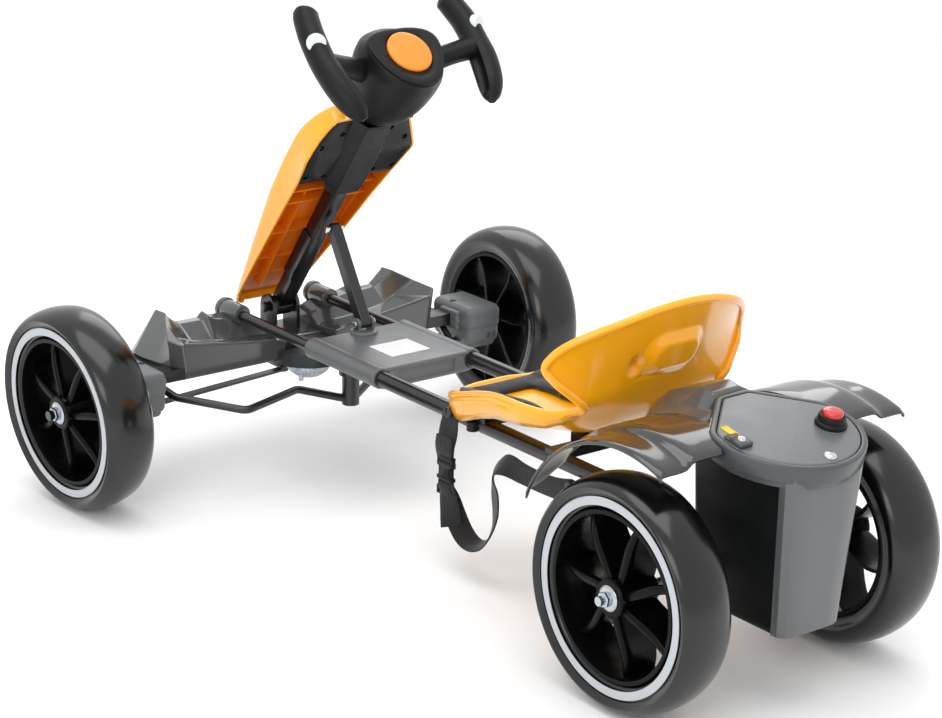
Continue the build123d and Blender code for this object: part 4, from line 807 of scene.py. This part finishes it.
# The column: a square steel tube with an eye round the fold pin, and bracket plates below the strut.
tube = column_slab("tube", (8, -10.4, -11), (352.5, 10.4, 10.4), 2.2)
eye = cross_pin("eye", COLUMN_PIVOT, -12.6, 12.6, 13, 1, 48)
fit(joined("square_column_tube", [tube, eye]), "column", BLACK_STEEL, "frame_black", "column_tube")
cheeks = []
for side in (-1, 1):
    low, high = sorted((side * 10.1, side * 12.1))
    cheeks.append(column_slab("cheek", (60, low, -9), (140, high, 11), 0.8, 2))
fit(joined("column_cheek_plates", cheeks), "column", BLACK_STEEL, "frame_black")
bolt_run, _, bolt_ahead = STRUT_BOLT
bolt_ends = [peg("bolt_end", on_column(bolt_run, near, bolt_ahead), on_column(bolt_run, far, bolt_ahead),
    radius, sides=6) for near, far, radius in ((7.2, 12.4, 5.2), (-7.2, -12, 4.6))]
fit(joined("strut_bolt", bolt_ends), "strut", CHROME, "chrome")
pin_ends = [cross_pin("pin_end", STRUT_FOOT, side * 12, side * 15.4, 4.4, sides=24) for side in (-1, 1)]
# The strut: a slim rectangular steel tube between the two pins.
strut_top, strut_foot = on_column(*STRUT_BOLT), spot(foot_x, 0, foot_z)
strut_run = (strut_top - strut_foot).normalized()
strut_out = strut_run.cross(Vector((0, 1, 0))).normalized()
strut_rows = []
for end, along, half, deep in ((strut_foot, -6, 6.4, 3.5), (strut_foot, -4, 7.2, 6),
        (strut_foot, 6, 7.2, 7.5), (strut_top, -6, 7.2, 7.5), (strut_top, 4, 7.2, 6),
        (strut_top, 6, 6.4, 3.5)):
    strut_rows.append([end + strut_run * along * MM + Vector((0, y * MM, 0)) + strut_out * out * MM
        for y, out in ((-half, -deep), (half, -deep), (half, deep), (-half, deep))])
strut = skin("rectangular_strut", strut_rows, ring=True, ends=True)
rounded(strut, 1.4, 3, 40)
fit(strut, "strut", BLACK_STEEL, "strut_grey", "column_strut")
fit(joined("strut_foot_pin_heads", pin_ends), "strut", ZINC, "zinc")
pivot_ends = [cross_pin("pivot_end", COLUMN_PIVOT, side * 22, side * 26, 7.4, sides=6) for side in (-1, 1)]
fit(joined("column_pivot_bolt", pivot_ends), "chassis", BLACK_STEEL, "frame_black")

# ---------------------------------------------------------------- steering wheel
HUB_TOP = 464.3
PLATE_TILT = 0.1
PLATE_OUTLINE = [(0, 29.5), (16, 29.2), (31, 26.5), (42, 21.5), (48.6, 13), (49.8, 2), (47.5, -10), (43, -22),
    (36.5, -32.5), (28, -43), (18, -50.6), (8, -54.2)]
outline = PLATE_OUTLINE + [(0, -55)] + [(-y, ahead) for y, ahead in reversed(PLATE_OUTLINE[1:])]
outline = [(left, ahead) for left, ahead, _ in smooth_path([Vector((y, n, 0))
    for y, n in outline + outline[:1]], 3)][:-1]
PLATE_CENTRE = -12.0


def plate_row(inset, drop):
    """The hub's top outline, drawn in by an inset and lowered."""
    row = []
    for left, ahead in outline:
        reach = Vector((left, ahead - PLATE_CENTRE))
        reach = reach * (1 - inset / reach.length)
        row.append((HUB_TOP + PLATE_TILT * (reach.y + PLATE_CENTRE) - drop, reach.x, reach.y + PLATE_CENTRE))
    return row


def bowl_row(run, radius, share=0.0):
    """A round section of the hub, turning into the top outline as its share grows."""
    row = []
    for (left, ahead), (_, plate_left, plate_ahead) in zip(outline, plate_row(-1.0, 0)):
        angle = atan2(ahead - PLATE_CENTRE, left)
        row.append((run, radius * cos(angle) * (1 - share) + plate_left * share,
            radius * sin(angle) * (1 - share) + plate_ahead * share))
    return row


BOWL = [(353, 13, 0), (353, 19.5, 0), (354, 21.5, 0), (358, 25, 0), (363, 30, 0), (371, 36, 0), (382, 42, 0),
    (396, 47.5, 0), (412, 51.5, 0), (428, 54, 0), (440, 54.6, 0.05), (448, 53.6, 0.25), (454, 52, 0.6)]
bowl_rows = [bowl_row(*row) for row in BOWL] + [plate_row(*row)
    for row in ((-0.6, 5.4), (0.2, 4.0), (1.6, 3.7))]
bowl = column_skin("bowl", bowl_rows, ring=True, ends=True, smooth=60)
top_rows = [plate_row(*row) for row in ((1.8, 4.4), (1.2, 3.2), (0.1, 2.4), (0.0, 1.4), (0.8, 0.4), (2.4, 0),
    (5, -0.2), (20, -0.3))]
top = column_skin("hub_top", top_rows, ring=True, ends=True, smooth=45)
HORN = Vector((463.6, 0, -7.0))


def horn_ring(radius, height):
    """A ring about the horn button's middle, raised above the hub's top."""
    return [(HORN.x + PLATE_TILT * radius * sin(a) + height, radius * cos(a), HORN.z + radius * sin(a))
        for a in (tau * step / 64 for step in range(64))]


cut(top, column_skin("horn_seat", [horn_ring(29.6, -3), horn_ring(29.6, 4)], ring=True, ends=True))
spokes = []
for side in (1, -1):
    middle = [Vector((run, side * left, ahead)) for run, left, ahead in ((424, 34, 2), (436, 62, 2),
        (445, 88, 1), (451, 110, 0))]
    places = [on_column(*place) for place in smooth_path(middle, 5)]
    radii = [15.5 - 2.6 * sin(pi * index / (len(places) - 1)) for index in range(len(places))]
    spokes.append(tube_along("spoke", places, radii, 28))
fit(joined("steering_hub_bowl", [bowl, top] + spokes), "steering_wheel", GRIP, "grip_black", "steering_hub")
# A near black peg sunk in the hub: painted shade for the dark inside of a screw hole.
screw_slot_painted_shade = peg("screw_slot_painted_shade", on_column(384, -22, -36), on_column(381.4, -20, -33), 3.0, 0, 20)
fit(screw_slot_painted_shade, "steering_wheel", RECESS_PAINTED_SHADE, "grip_black")

horn_rows = [horn_ring(*row) for row in ((28.4, -2.4), (28.6, -1), (28.4, 1.2), (27.6, 2.2), (25.5, 2.9),
    (20, 3.5), (12, 3.9), (4, 4.0))]
horn = column_skin("plain_horn_button", horn_rows, ring=True, ends=True, smooth=60)
fit(horn, "steering_wheel", ORANGE, "button_orange", "horn_button")
# A near black ring under the horn button's edge: painted shade in the gap round it.
fit(column_skin("horn_button_gap_painted_shade", [horn_ring(29.6, -2.6), horn_ring(20, -2.6)], ring=True, ends=True),
    "steering_wheel", RECESS_PAINTED_SHADE, "grip_black")


def bulge(share):
    """The swelling of a grip's lower half."""
    return exp(-((share - 0.68) / 0.12) ** 2)


GRIP_LINE = ((463, 98, 76), (461, 103, 68), (459, 107, 52), (457, 110, 35), (452, 111, 8), (449, 109.5, -16),
    (444, 104, -44), (440, 97, -64), (437.5, 92, -76))


def grip(name, side):
    """One hand grip: swollen in the middle, drawn out to its tips, hollowed on its inner lower face."""
    line = smooth_path([Vector((run, side * left, ahead)) for run, left, ahead in GRIP_LINE], 4)
    count = len(line) - 1
    radii = []
    for index in range(len(line)):
        share = index / count
        ends = min(share, 1 - share)
        swell = 14.4 + 1.4 * sin(pi * share) + 1.2 * bulge(share)
        drawn = min(1.0, ends / (0.1 if share < 0.5 else 0.24))
        radii.append(swell * max(0.16, drawn * (2 - drawn)) ** 0.6)
    piece = tube_along("moulded_grip_" + name, [on_column(*place) for place in line], radii, 32)
    lower = line[17:29]
    scoop = [on_column(place.x + 4, place.y - side * 15.5, place.z) for place in lower]
    cut(piece, tube_along("scoop", scoop, 9.5, 24))
    rounded(piece, 0.8, 2, 35)
    fit(piece, "steering_wheel", GRIP, "grip_black", "grip_" + name)
    facing = Vector((0.62, side * 0.42, -0.66))
    seat = Vector((456, side * 109.5, 32))
    start, end = seat + facing * 9, seat + facing * 19.4
    button = peg("thumb_button_" + name, on_column(*start), on_column(*end), 11.4, 1.8, 48)
    fit(button, "steering_wheel", WHITE, "grip_black")


for name, side in SIDES.items():
    grip(name, side)

# ---------------------------------------------------------------- seat
# Ribs of the seat from the pan's front to the back's top: each rib's middle (x, z) and rim (x, y, z).
SEAT_RIBS = [((416, 200), (413, 50, 200)), ((406, 198.5), (405, 67, 203)), ((388, 197.5), (388, 78, 209)),
    ((365, 197), (365, 87, 217.5)), ((338, 196.6), (338, 95, 227)), ((312, 197), (312, 101, 236)),
    ((275, 200), (275, 112, 247)), ((240, 205), (238, 120, 253)), ((208, 211), (205, 124, 256)),
    ((182, 219), (181, 118, 256)), ((163, 231), (163, 109, 258.5)), ((149, 248), (151, 102, 263)),
    ((140, 266), (141, 97, 267)), ((132, 285), (139, 104, 276)), ((128, 294), (144, 114, 286)),
    ((124, 304), (151, 128, 299)), ((116, 322), (159, 137, 314)), ((108, 340), (153, 133, 328)),
    ((101, 356), (140, 123, 342)), ((95, 369), (121, 101, 357)), ((91, 378), (105, 74, 369)),
    ((89.5, 383), (97, 46, 377))]
PAN_RIBS, PAN_TOP = 10, 0.21    # ribs of the pan, and the height its floor stays under in metres
FLOOR_HALF = [54, 58, 60, 62, 63, 64, 64, 63, 62, 61, 58, 54, 50, 50, 50, 50, 50, 50, 50, 50, 40, 26]


def seat_rib(index):
    """Half a rib, from the rim to the middle, as places in millimetres."""
    (middle_x, middle_z), (rim_x, rim_y, rim_z) = SEAT_RIBS[index]
    wall_start = FLOOR_HALF[index] * 0.72
    mix = min(1.0, max(0.0, (index - PAN_RIBS + 1) / 4))
    row = []
    for share in (1, 0.965, 0.93, 0.88, 0.82, 0.74, 0.66, 0.56, 0.45, 0.33, 0.2, 0.1):
        y = rim_y * share
        trough = max(0.0, (y - wall_start) / (rim_y - wall_start)) ** 1.35
        bend = trough * (1 - mix) + share ** 2.1 * mix
        row.append(Vector((middle_x + (rim_x - middle_x) * bend, y, middle_z + (rim_z - middle_z) * bend)))
    return row


def whole_rib(half, index):
    """Half a rib, its middle and the mirrored half."""
    (middle_x, middle_z), _ = SEAT_RIBS[index]
    return half + [Vector((middle_x, 0, middle_z))] + [Vector((p.x, -p.y, p.z)) for p in reversed(half)]


def bump(value, start, full):
    """A smooth rise from nought at start to one at full."""
    share = min(1.0, max(0.0, (value - start) / (full - start)))
    return share * share * (3 - 2 * share)


seat_rows = [[spot(*place) for place in whole_rib(seat_rib(index), index)] for index in range(len(SEAT_RIBS))]
seat = skin("moulded_seat", seat_rows)
if sum(polygon.normal.z for polygon in seat.data.polygons if polygon.center.z < PAN_TOP) >= 0:
    seat.data.flip_normals()
subdivided(seat, 3)
# Lumbar boss on the rear face, with the hollow at its left end and the crease under it.
boss_y, boss_z, hollow_y, hollow_z = -2, 322, 43, 311
for vertex in seat.data.vertices:
    x, y, z = (vertex.co.x - REAR_AXLE_X) / MM, vertex.co.y / MM, vertex.co.z / MM
    if z < 285 or x > 140 or abs(y) > 62:
        continue
    reach = hypot(max(0.0, abs(y - boss_y) - 16) / 21.5, (z - boss_z) / 25.0)
    rise = 8.5 * bump(-reach, -1.2, -0.5)
    hollow = 8.5 * bump(-hypot((y - hollow_y) / 9, (z - hollow_z) / 15), -1.15, -0.2)
    crease = 1.6 * bump(-abs(z - 295.5 + 0.004 * (y - 20) ** 2), -5, 0) * bump(-abs(y - 20), -26, -8)
    shift = rise - hollow - crease
    vertex.co.x -= shift * MM
    vertex.co.z -= shift * 0.25 * MM
shaded(thick(seat, 4), 50)
left_edge = [Vector(rib[1]) for rib in SEAT_RIBS]
edge = left_edge + [Vector(place) for place in ((93, 22, 381), (91.5, 0, 382.4), (93, -22, 381))]
edge += [Vector((p.x, -p.y, p.z)) for p in reversed(left_edge)]
edge += [Vector(place) for place in ((417, -24, 201), (417.5, 0, 201), (417, 24, 201))]
edge_line = [spot(p.x, p.y, p.z + 0.6) for p in smooth_path(edge + edge[:1], 5)[:-1]]
bead = tube_along("bead", edge_line, 4.7, 16, closed=True)
# The pan's outer flange, turned down from the rim.
FLANGE = [14, 23, 28, 30, 29, 27, 25, 23, 20, 16, 10, 4]
flange_rows = []
for (_, (x, y, z)), drop in zip(SEAT_RIBS, FLANGE):
    flange_rows.append([spot(x, y + out, z - drop * down)
        for out, down in ((3.4, 0), (3.6, 0.3), (1.5, 0.65), (-4, 1))])
flange_left = thick(skin("flange", flange_rows, smooth=50), 3, 0)
flange_right = copied(flange_left, "flange_right", MIRROR)
nose_rows = [[spot(416.5 + out, y, 200 - drop) for out, drop in ((3.4, 0), (3.6, 4), (1.5, 8), (-4, 12))]
    for y in (-50, -25, 0, 25, 50)]
nose = thick(skin("flange_nose", nose_rows, smooth=50), 3, 0)
seat_shell = joined("moulded_seat_shell", [seat, bead, flange_left, flange_right, nose])
fit(seat_shell, "chassis", YELLOW, "panel_yellow", "seat_shell")

# Padded black lining of the pan: two sides joined across the front, open along the middle.
PAD_LIFT = 5.2
pad_rows = [[spot(p.x - 2, p.y * 0.97, p.z + PAD_LIFT) for p in whole_rib(seat_rib(index)[2:], index)]
    for index in range(1, PAN_RIBS - 1)]
pad = subdivided(upward(skin("pad", pad_rows)))
edit(pad, "DESELECT")
bpy.ops.object.mode_set(mode="OBJECT")
STRIP_FRONT, STRIP_HALF = 374, 27
for polygon in pad.data.polygons:
    behind = STRIP_FRONT - (polygon.center.x - REAR_AXLE_X) / MM
    polygon.select = behind > 0 and abs(polygon.center.y) < (STRIP_HALF + 0.05 * behind) * MM
bpy.ops.object.mode_set(mode="EDIT")
bpy.ops.mesh.select_mode(type="FACE")
bpy.ops.mesh.delete(type="FACE")
bpy.ops.mesh.select_mode(type="VERT")
bpy.ops.object.mode_set(mode="OBJECT")
rounded(thick(pad, 6, 1), 2.0, 2, 50)
PUFF = 1.6 * MM                 # the cloth run may move the lining this far
modify(pad, "REMESH", mode="VOXEL", voxel_size=3.5 * MM)
start_places = [vertex.co.copy() for vertex in pad.data.vertices]
take(pad)
cloth = pad.modifiers.new("Cloth", "CLOTH")
cloth.settings.use_pressure = True
cloth.settings.uniform_pressure_force = 3.0
cloth.settings.effector_weights.gravity = 0
for moment in range(1, 13):
    bpy.context.scene.frame_set(moment)
bpy.ops.object.modifier_apply(modifier=cloth.name)
bpy.context.scene.frame_set(1)
for vertex, start in zip(pad.data.vertices, start_places):
    shift = vertex.co - start
    if shift.length > PUFF:
        vertex.co = start + shift.normalized() * PUFF
subdivided(pad, 1)
titled(pad, "padded_seat_lining")
take(pad)
bpy.ops.object.shade_smooth()
fit(pad, "chassis", WEAVE, "pad_black", "seat_pad")

# ---------------------------------------------------------------- lap belt
BELT_WIDTH = 25


def strap(name, places):
    """Flat webbing through places; each has x, y, z and how far its width turns from upright to crosswise."""
    line = smooth_path([Vector(place[:3]) for place in places], 8)
    turns = smooth_path([Vector((place[3], 0, 0)) for place in places], 8)
    rows = []
    for index, (place, turn) in enumerate(zip(line, turns)):
        before, after = line[max(index - 1, 0)], line[min(index + 1, len(line) - 1)]
        run = (after - before).normalized()
        sideways = Vector((0, 1, 0))
        upright = run.cross(sideways).normalized()
        sideways = upright.cross(run).normalized()
        angle = radians(turn.x)
        across = upright * cos(angle) + sideways * sin(angle)
        rows.append([spot(*(place + across * BELT_WIDTH * share)) for share in (-0.5, -0.25, 0, 0.25, 0.5)])
    return rounded(thick(skin(name, rows), 1.8, 0), 0.5, 2, 50)


front_strap = strap("front_strap", [(390, 80, 193, 6), (391, 80, 180, 8), (394, 80, 163, 18),
    (397, 80, 148, 10), (397, 79.5, 132, 0), (397, 79, 124, 0)])
folded_end = strap("folded_end", [(397, 82.5, 158, 8), (398, 83, 146, 10), (398, 81.5, 130, 0),
    (397, 80.5, 124, 0)])
rear_strap = strap("rear_strap", [(396, 79, 104, 0), (394, 79, 94, 6), (386, 80, 82, 30), (371, 82, 64, 52),
    (352, 84, 50, 66), (334, 84, 46, 74), (318, 83, 54, 62), (309, 81, 72, 44), (306, 79, 94, 26),
    (309, 78, 116, 22), (311, 79, 136, 40), (302, 80, 151, 50), (284, 81, 158, 26), (258, 80, 156, 4),
    (228, 79, 155, -2), (200, 79, 157, 0), (174, 79, 163, 4)])
loose_end = strap("loose_end", [(394, 81, 100, 0), (386, 84, 84, 16), (377, 88, 70, 30), (372, 90, 58, 36)])
belt = joined("lap_belt_webbing", [front_strap, folded_end, rear_strap, loose_end])
fit(belt, "chassis", WEBBING, "belt_black", "lap_belt")
body = slab("buckle_body", spot(382, 75.5, 104), spot(411, 84, 130), 3.2, 4)
for x0, x1 in ((379.5, 387.5), (405.5, 413.5)):
    cut(body, slab("window", spot(x0, 70, 109), spot(x1, 90, 122)))
latch = slab("buckle_latch", spot(384, 76.5, 91), spot(409, 83, 105), 2.4, 3)
prongs = [slab("prong", spot(x0, 77.4, 104), spot(x0 + 4.4, 82.2, 121), 1.6, 3) for x0 in (384.2, 404.4)]
bars = [slab("ladder_bar", spot(382.5, 76.4, z), spot(410.5, 83.4, z + 3.4), 1.4, 3) for z in (86.5, 131.5)]
sides = [slab("ladder_side", spot(x0, 76.8, z), spot(x0 + 3, 83, z + 10), 1.2, 3) for x0 in (382.5, 407.5)
    for z in (87.5, 124.5)]
fit(joined("side_release_buckle", [body, latch] + prongs + bars + sides), "chassis", SWITCH, "grip_black",
    "belt_buckle")
anchors = [cross_pin("anchor", place, 76, 86, 6.2, 1.4, 24) for place in ((390, 190), (176, 168))]
fit(joined("belt_anchor_screws", anchors), "chassis", BLACK_STEEL, "frame_black")
for side in (-1, 1):
    foot = peg("seat_foot", spot(352, side * 78, 178), spot(352, side * 78, 190), 7, 1.5, 24)
    fit(foot, "chassis", SWITCH, "frame_black")

# ---------------------------------------------------------------- rear cover, lid and box
LID_MIDDLE, LID_HALF_WIDTH = -68, 80


def lid_ring(grow, height):
    """The lid's outline on its tilted plane, wider by a margin, at a height over its face."""
    corner_x, corner_y, corner = -65.6, 54, 24
    half = []
    for degrees in range(180, 102, -6):
        angle = radians(degrees)
        half.append((LID_MIDDLE + LID_HALF_WIDTH * cos(angle), LID_HALF_WIDTH * sin(angle)))
    half += [(-85.8, 78), (-75, 78.1), (corner_x, 78)]
    for degrees in (80, 70, 60, 50, 43):
        angle = radians(degrees)
        half.append((corner_x + corner * cos(angle), corner_y + corner * sin(angle)))
    half += [(-40, 61.7), (-30, 50.8), (-20, 39.9), (-10, 28.9), (-3, 21.2), (-0.8, 18.4), (0, 15.6), (0, 8)]
    line = [Vector((x, y)) for x, y in half] + [Vector((0, 0))] + [Vector((x, -y))
        for x, y in reversed(half[1:])]
    ring = []
    for index, place in enumerate(line):
        before, after = line[index - 1], line[(index + 1) % len(line)]
        run = (after - before).normalized()
        out = Vector((-run.y, run.x))
        ring.append(on_lid(place.x + out.x * grow, place.y + out.y * grow, height))
    return ring


def lid_skin(name, rings, **settings):
    """A skin through rings of the lid's outline, each a margin and a height."""
    return skin(name, [lid_ring(*ring) for ring in rings], ring=True, **settings)


collar = lid_skin("collar", [(1.2, -5), (1.2, -1.2), (1.9, -0.2), (2.8, 0), (6, 0), (7.2, -0.5), (7.9, -1.8),
    (8, -4), (8, -17.5), (7.6, -18.6), (6.6, -19.2), (4.4, -25.6), (2.4, -26), (1.2, -24)], smooth=40)
ledge = thick(lid_skin("ledge", [(1.3, -4.4), (-7, -4.6)]), 2, 0)
fit(joined("box_collar_band", [collar, ledge]), "chassis", COLLAR, "grey_gloss", "box_collar")

# The lid plate's lighter grey is painted reflection.
lid = lid_skin("box_lid_plate", [(-3, -3), (0, -3), (0.2, -1), (-0.4, -0.3), (-1.4, 0), (-2.4, 0.05)],
    ends=True, smooth=45)
fit(lid, "lid", LID_WITH_PAINTED_REFLECTION, "lid_grey", "box_lid")

TUB_BOTTOM, TUB_FRONT, CORNER = 84, 24, 8
tub_rows = []
for height, rear, half in ((TUB_BOTTOM, -109, 38), (86, -110.2, 39.4), (90, -110.8, 40.2),
        (140, -113.8, 43.6), (200, -117.4, 47.6), (262, -121, 51.8)):
    places = []
    ahead, behind, aside = TUB_FRONT - CORNER, rear + CORNER, half - CORNER
    for quarter, (cx, cy) in enumerate(((ahead, aside), (behind, aside), (behind, -aside), (ahead, -aside))):
        for step in range(5):
            angle = radians(quarter * 90 + step * 22.5)
            places.append(spot(cx + CORNER * cos(angle), cy + CORNER * sin(angle), height))
    tub_rows.append(places)
tub = skin("battery_tub", tub_rows, ring=True, smooth=40)
edit(tub, "DESELECT")
bpy.ops.object.mode_set(mode="OBJECT")
for vertex in tub.data.vertices:
    vertex.select = abs(vertex.co.z - TUB_BOTTOM * MM) < 0.2 * MM
bpy.ops.object.mode_set(mode="EDIT")
bpy.ops.mesh.edge_face_add()
bpy.ops.object.mode_set(mode="OBJECT")
# The tub's near black sides are painted shade.
fit(shaded(thick(tub, 3), 40), "chassis", TUB_IN_PAINTED_SHADE, "box_black", "rear_box")

# The grey face that closes the tub to the rear, its side edges bevelled.
face_rows = []
for height, rear, half in ((84.5, -111, 40), (87, -111.6, 40.6), (120, -113.5, 42.6), (180, -117, 46.6),
        (240, -120.6, 50.6), (262, -121.9, 52.1)):
    places = [(rear + 17, half + 0.7), (rear + 8.5, half + 0.6), (rear + 2.2, half - 4.6), (rear, half - 10),
        (rear - 0.4, half * 0.4), (rear - 0.4, 0)]
    places += [(x, -y) for x, y in reversed(places[:-1])]
    face_rows.append([spot(x, y, height) for x, y in places])
face = skin("rear_face", face_rows, smooth=25)
rounded(thick(face, 2.4, 0), 0.8, 2, 40)
fit(titled(face, "box_rear_face"), "chassis", BOX_FACE, "grey_gloss")

# Faceted cover between the lid and the seat back.
hump_rows = []
for x, low, low_z, middle, middle_z, high, high_z in ((-52, 67, 281, 60, 286, 30, 294),
        (-20, 67, 284.5, 50, 289.5, 20, 299), (13, 66, 284.5, 40, 291.5, 15, 300.5),
        (34, 66, 284, 42, 291, 19, 303.5), (49, 66, 283, 44, 290, 21, 305.6), (70, 64, 279, 44, 286, 24, 299),
        (90, 57, 268, 42, 279, 23, 290.5), (104, 50, 254, 38, 270, 19, 282),
        (107, 47, 250, 36, 264, 17, 273)):
    half = [(low - 1, low_z - 14), (low, low_z), ((low + middle) / 2 + 0.5, (low_z + middle_z) / 2),
        (middle, middle_z), ((middle + high) / 2 + 0.6, (middle_z + high_z) / 2 + 0.6), (high, high_z)]
    row = half + [(0, high_z + 0.4)] + [(-y, z) for y, z in reversed(half)]
    hump_rows.append([spot(x, y, z) for y, z in row])
hump = skin("hump", hump_rows, smooth=20)
rounded(thick(hump, 3), 1.6, 3, 14)
LID_ROOM = 8.3                  # the collar's reach over the lid's outline, with a little room
cut(hump, lid_skin("hump_tool", [(LID_ROOM, -40), (LID_ROOM, 40)], ends=True))
fit(titled(hump, "faceted_rear_cover"), "chassis", SHELL, "grey_gloss", "rear_cover")

FENDER_REAR = -61
FENDER_FRONT = [(62, 66), (86, 80), (110, 103), (135, 124), (150, 137), (160, 141.5), (173, 143)]
FENDER_BOW = [(62, 167), (80, 167.6), (100, 168), (118, 168), (126, 167.6), (130, 166.6), (133, 164.6),
    (136, 162.4), (139, 161.4), (144, 161), (152, 161), (160, 161), (166, 160.8), (169.5, 160),
    (171.6, 158.4), (172, 155.6)]


def fender(name, side):
    """Arched fender: a raised middle, a lower outer lip and a rolled outer edge."""
    rows = []
    for step in range(33):
        share = step / 32
        row = []
        for y, bow in FENDER_BOW:
            x = FENDER_REAR + (between(FENDER_FRONT, y) - FENDER_REAR) * share
            edge_drop = 2.2 * bump(-share, -0.03, 0) + 2.2 * bump(share, 0.97, 1)
            row.append(spot(x, side * y, WHEEL_RADIUS + sqrt(bow * bow - x * x) - edge_drop))
        rows.append(row)
    piece = thick(upward(skin("fender_" + name, rows, smooth=60)), 3)
    rounded(piece, 0.9, 2, 50)
    cut(piece, lid_skin("fender_tool", [(LID_ROOM, -60), (LID_ROOM, 40)], ends=True))
    fit(titled(shaded(piece, 35), "moulded_fender_" + name), "chassis", FENDER, "grey_gloss",
        "rear_fender_" + name)


for name, side in SIDES.items():
    fender(name, side)

# ---------------------------------------------------------------- lid fittings
def to_lid(piece, x, y, lift=0.0):
    """Moves a piece made about the origin to its place on the lid."""
    for vertex in piece.data.vertices:
        place = vertex.co / MM
        vertex.co = on_lid(x + place.x, y + place.y, place.z + lift)
    return piece


def lid_round(name, x, y, profile, steps=64):
    """A round fitting on the lid, from its profile of radius and height."""
    return to_lid(turned(name, profile, steps), x, y)


STOP = (-88, -50)
base = lid_round("switch_base", *STOP, [(0, 0), (17, 0), (17, 3), (16.4, 4.2), (15, 5.2), (14.6, 10.4),
    (13.8, 11.8), (12.2, 12), (11.6, 11.2), (11.6, 8), (0, 8)])
fit(base, "lid", SWITCH, "grip_black", "stop_switch")
red = lid_round("stop_push_button", *STOP, [(0, 8.4), (11, 8.4), (11, 14.4), (10.2, 15.8), (8.4, 16.6),
    (4, 16.8), (0, 16.8)])
fit(red, "lid", RED, "button_red", "stop_button")
lock = lid_round("lock_head", -138, 0, [(0, 0), (7, 0), (7, 1.4), (6.2, 2.8), (4.4, 3.7), (2, 4), (0, 4)])
fit(lock, "lid", CHROME, "chrome", "lid_lock")
tab = slab("lid_tab", (-13 * MM, -9 * MM, 0), (13 * MM, 9 * MM, 5.2 * MM), 1.8)
cut(tab, slab("tab_notch", (4 * MM, -12 * MM, 2.4 * MM), (16 * MM, 12 * MM, 8 * MM), 0.8, 2))
fit(to_lid(tab, -77, 69, 0.1), "lid", COLLAR, "grey_gloss", "lid_clip")
screw = lid_round("tab_screw", -81, 69, [(0, 5), (4.6, 5), (4.6, 6.2), (3.8, 7.6), (1.8, 8.2), (0.9, 8.2),
    (0.9, 7.2), (0, 7.2)], 32)
fit(screw, "lid", CHROME, "chrome")
strip_rows = [[on_lid(x, y, 0.45) for y in (56, 61, 66)] for x in (-72, -66, -60, -54, -46)]
fit(thick(skin("blank_yellow_strip", strip_rows), 0.3, 0), "lid", YELLOW_FILM, "panel_yellow")

# ---------------------------------------------------------------- room and camera
bpy.ops.object.select_all(action="DESELECT")
bpy.ops.mesh.primitive_plane_add(size=30)
floor = fresh("studio_floor")
floor_finish, floor_tree, floor_shader, floor_place = surface("pale_paper_floor", {"Roughness": 0.75})
tint(floor_tree, floor_shader, noise(floor_tree, floor_place, 30.0, 2.0), "#fdfdfd", "#fbfbfb")
floor.data.materials.append(floor_finish)

world = bpy.data.worlds.new("studio")
bpy.context.scene.world = world
world.use_nodes = True
world.node_tree.nodes["Background"].inputs["Color"].default_value = colour("#ffffff")
world.node_tree.nodes["Background"].inputs["Strength"].default_value = 1.0


def lamp(name, place, target, size, power):
    """A large soft panel of light aimed at a place."""
    data = bpy.data.lights.new(name, "AREA")
    data.shape = "RECTANGLE"
    data.size, data.size_y = size
    data.energy = power
    light = bpy.data.objects.new(name, data)
    bpy.context.scene.collection.objects.link(light)
    light.location = place
    light.rotation_euler = (Vector(target) - Vector(place)).to_track_quat("-Z", "Y").to_euler()


lamp("overhead_panel", (-0.2, 0.3, 2.6), (0, 0, 0.2), (2.4, 1.6), 26)
lamp("left_panel", (-1.6, 2.3, 1.5), (0, 0, 0.25), (1.6, 1.2), 16)
lamp("right_panel", (1.6, -1.4, 1.7), (0, 0, 0.2), (1.6, 1.2), 12)

CAMERA_X, CAMERA_Y, CAMERA_Z = -1707.05, 1707.31, 1124.06
CAMERA_AZIMUTH, CAMERA_DOWN, CAMERA_ROLL = -0.668, 0.317, 0.024
camera_data = bpy.data.cameras.new("studio_camera")
camera_data.sensor_width = 36
camera_data.lens = 94.91
camera = bpy.data.objects.new("studio_camera", camera_data)
bpy.context.scene.collection.objects.link(camera)
forward = Vector((cos(CAMERA_AZIMUTH) * cos(CAMERA_DOWN), sin(CAMERA_AZIMUTH) * cos(CAMERA_DOWN),
    -sin(CAMERA_DOWN)))
right = Vector((sin(CAMERA_AZIMUTH), -cos(CAMERA_AZIMUTH), 0))
up = right.cross(forward)
across = right * cos(CAMERA_ROLL) + up * sin(CAMERA_ROLL)
upward = up * cos(CAMERA_ROLL) - right * sin(CAMERA_ROLL)
frame_of_view = Matrix((across, upward, -forward)).transposed().to_4x4()
camera.matrix_world = Matrix.Translation(spot(CAMERA_X, CAMERA_Y, CAMERA_Z)) @ frame_of_view
bpy.context.scene.camera = camera
bpy.context.scene.view_settings.view_transform = "Standard"
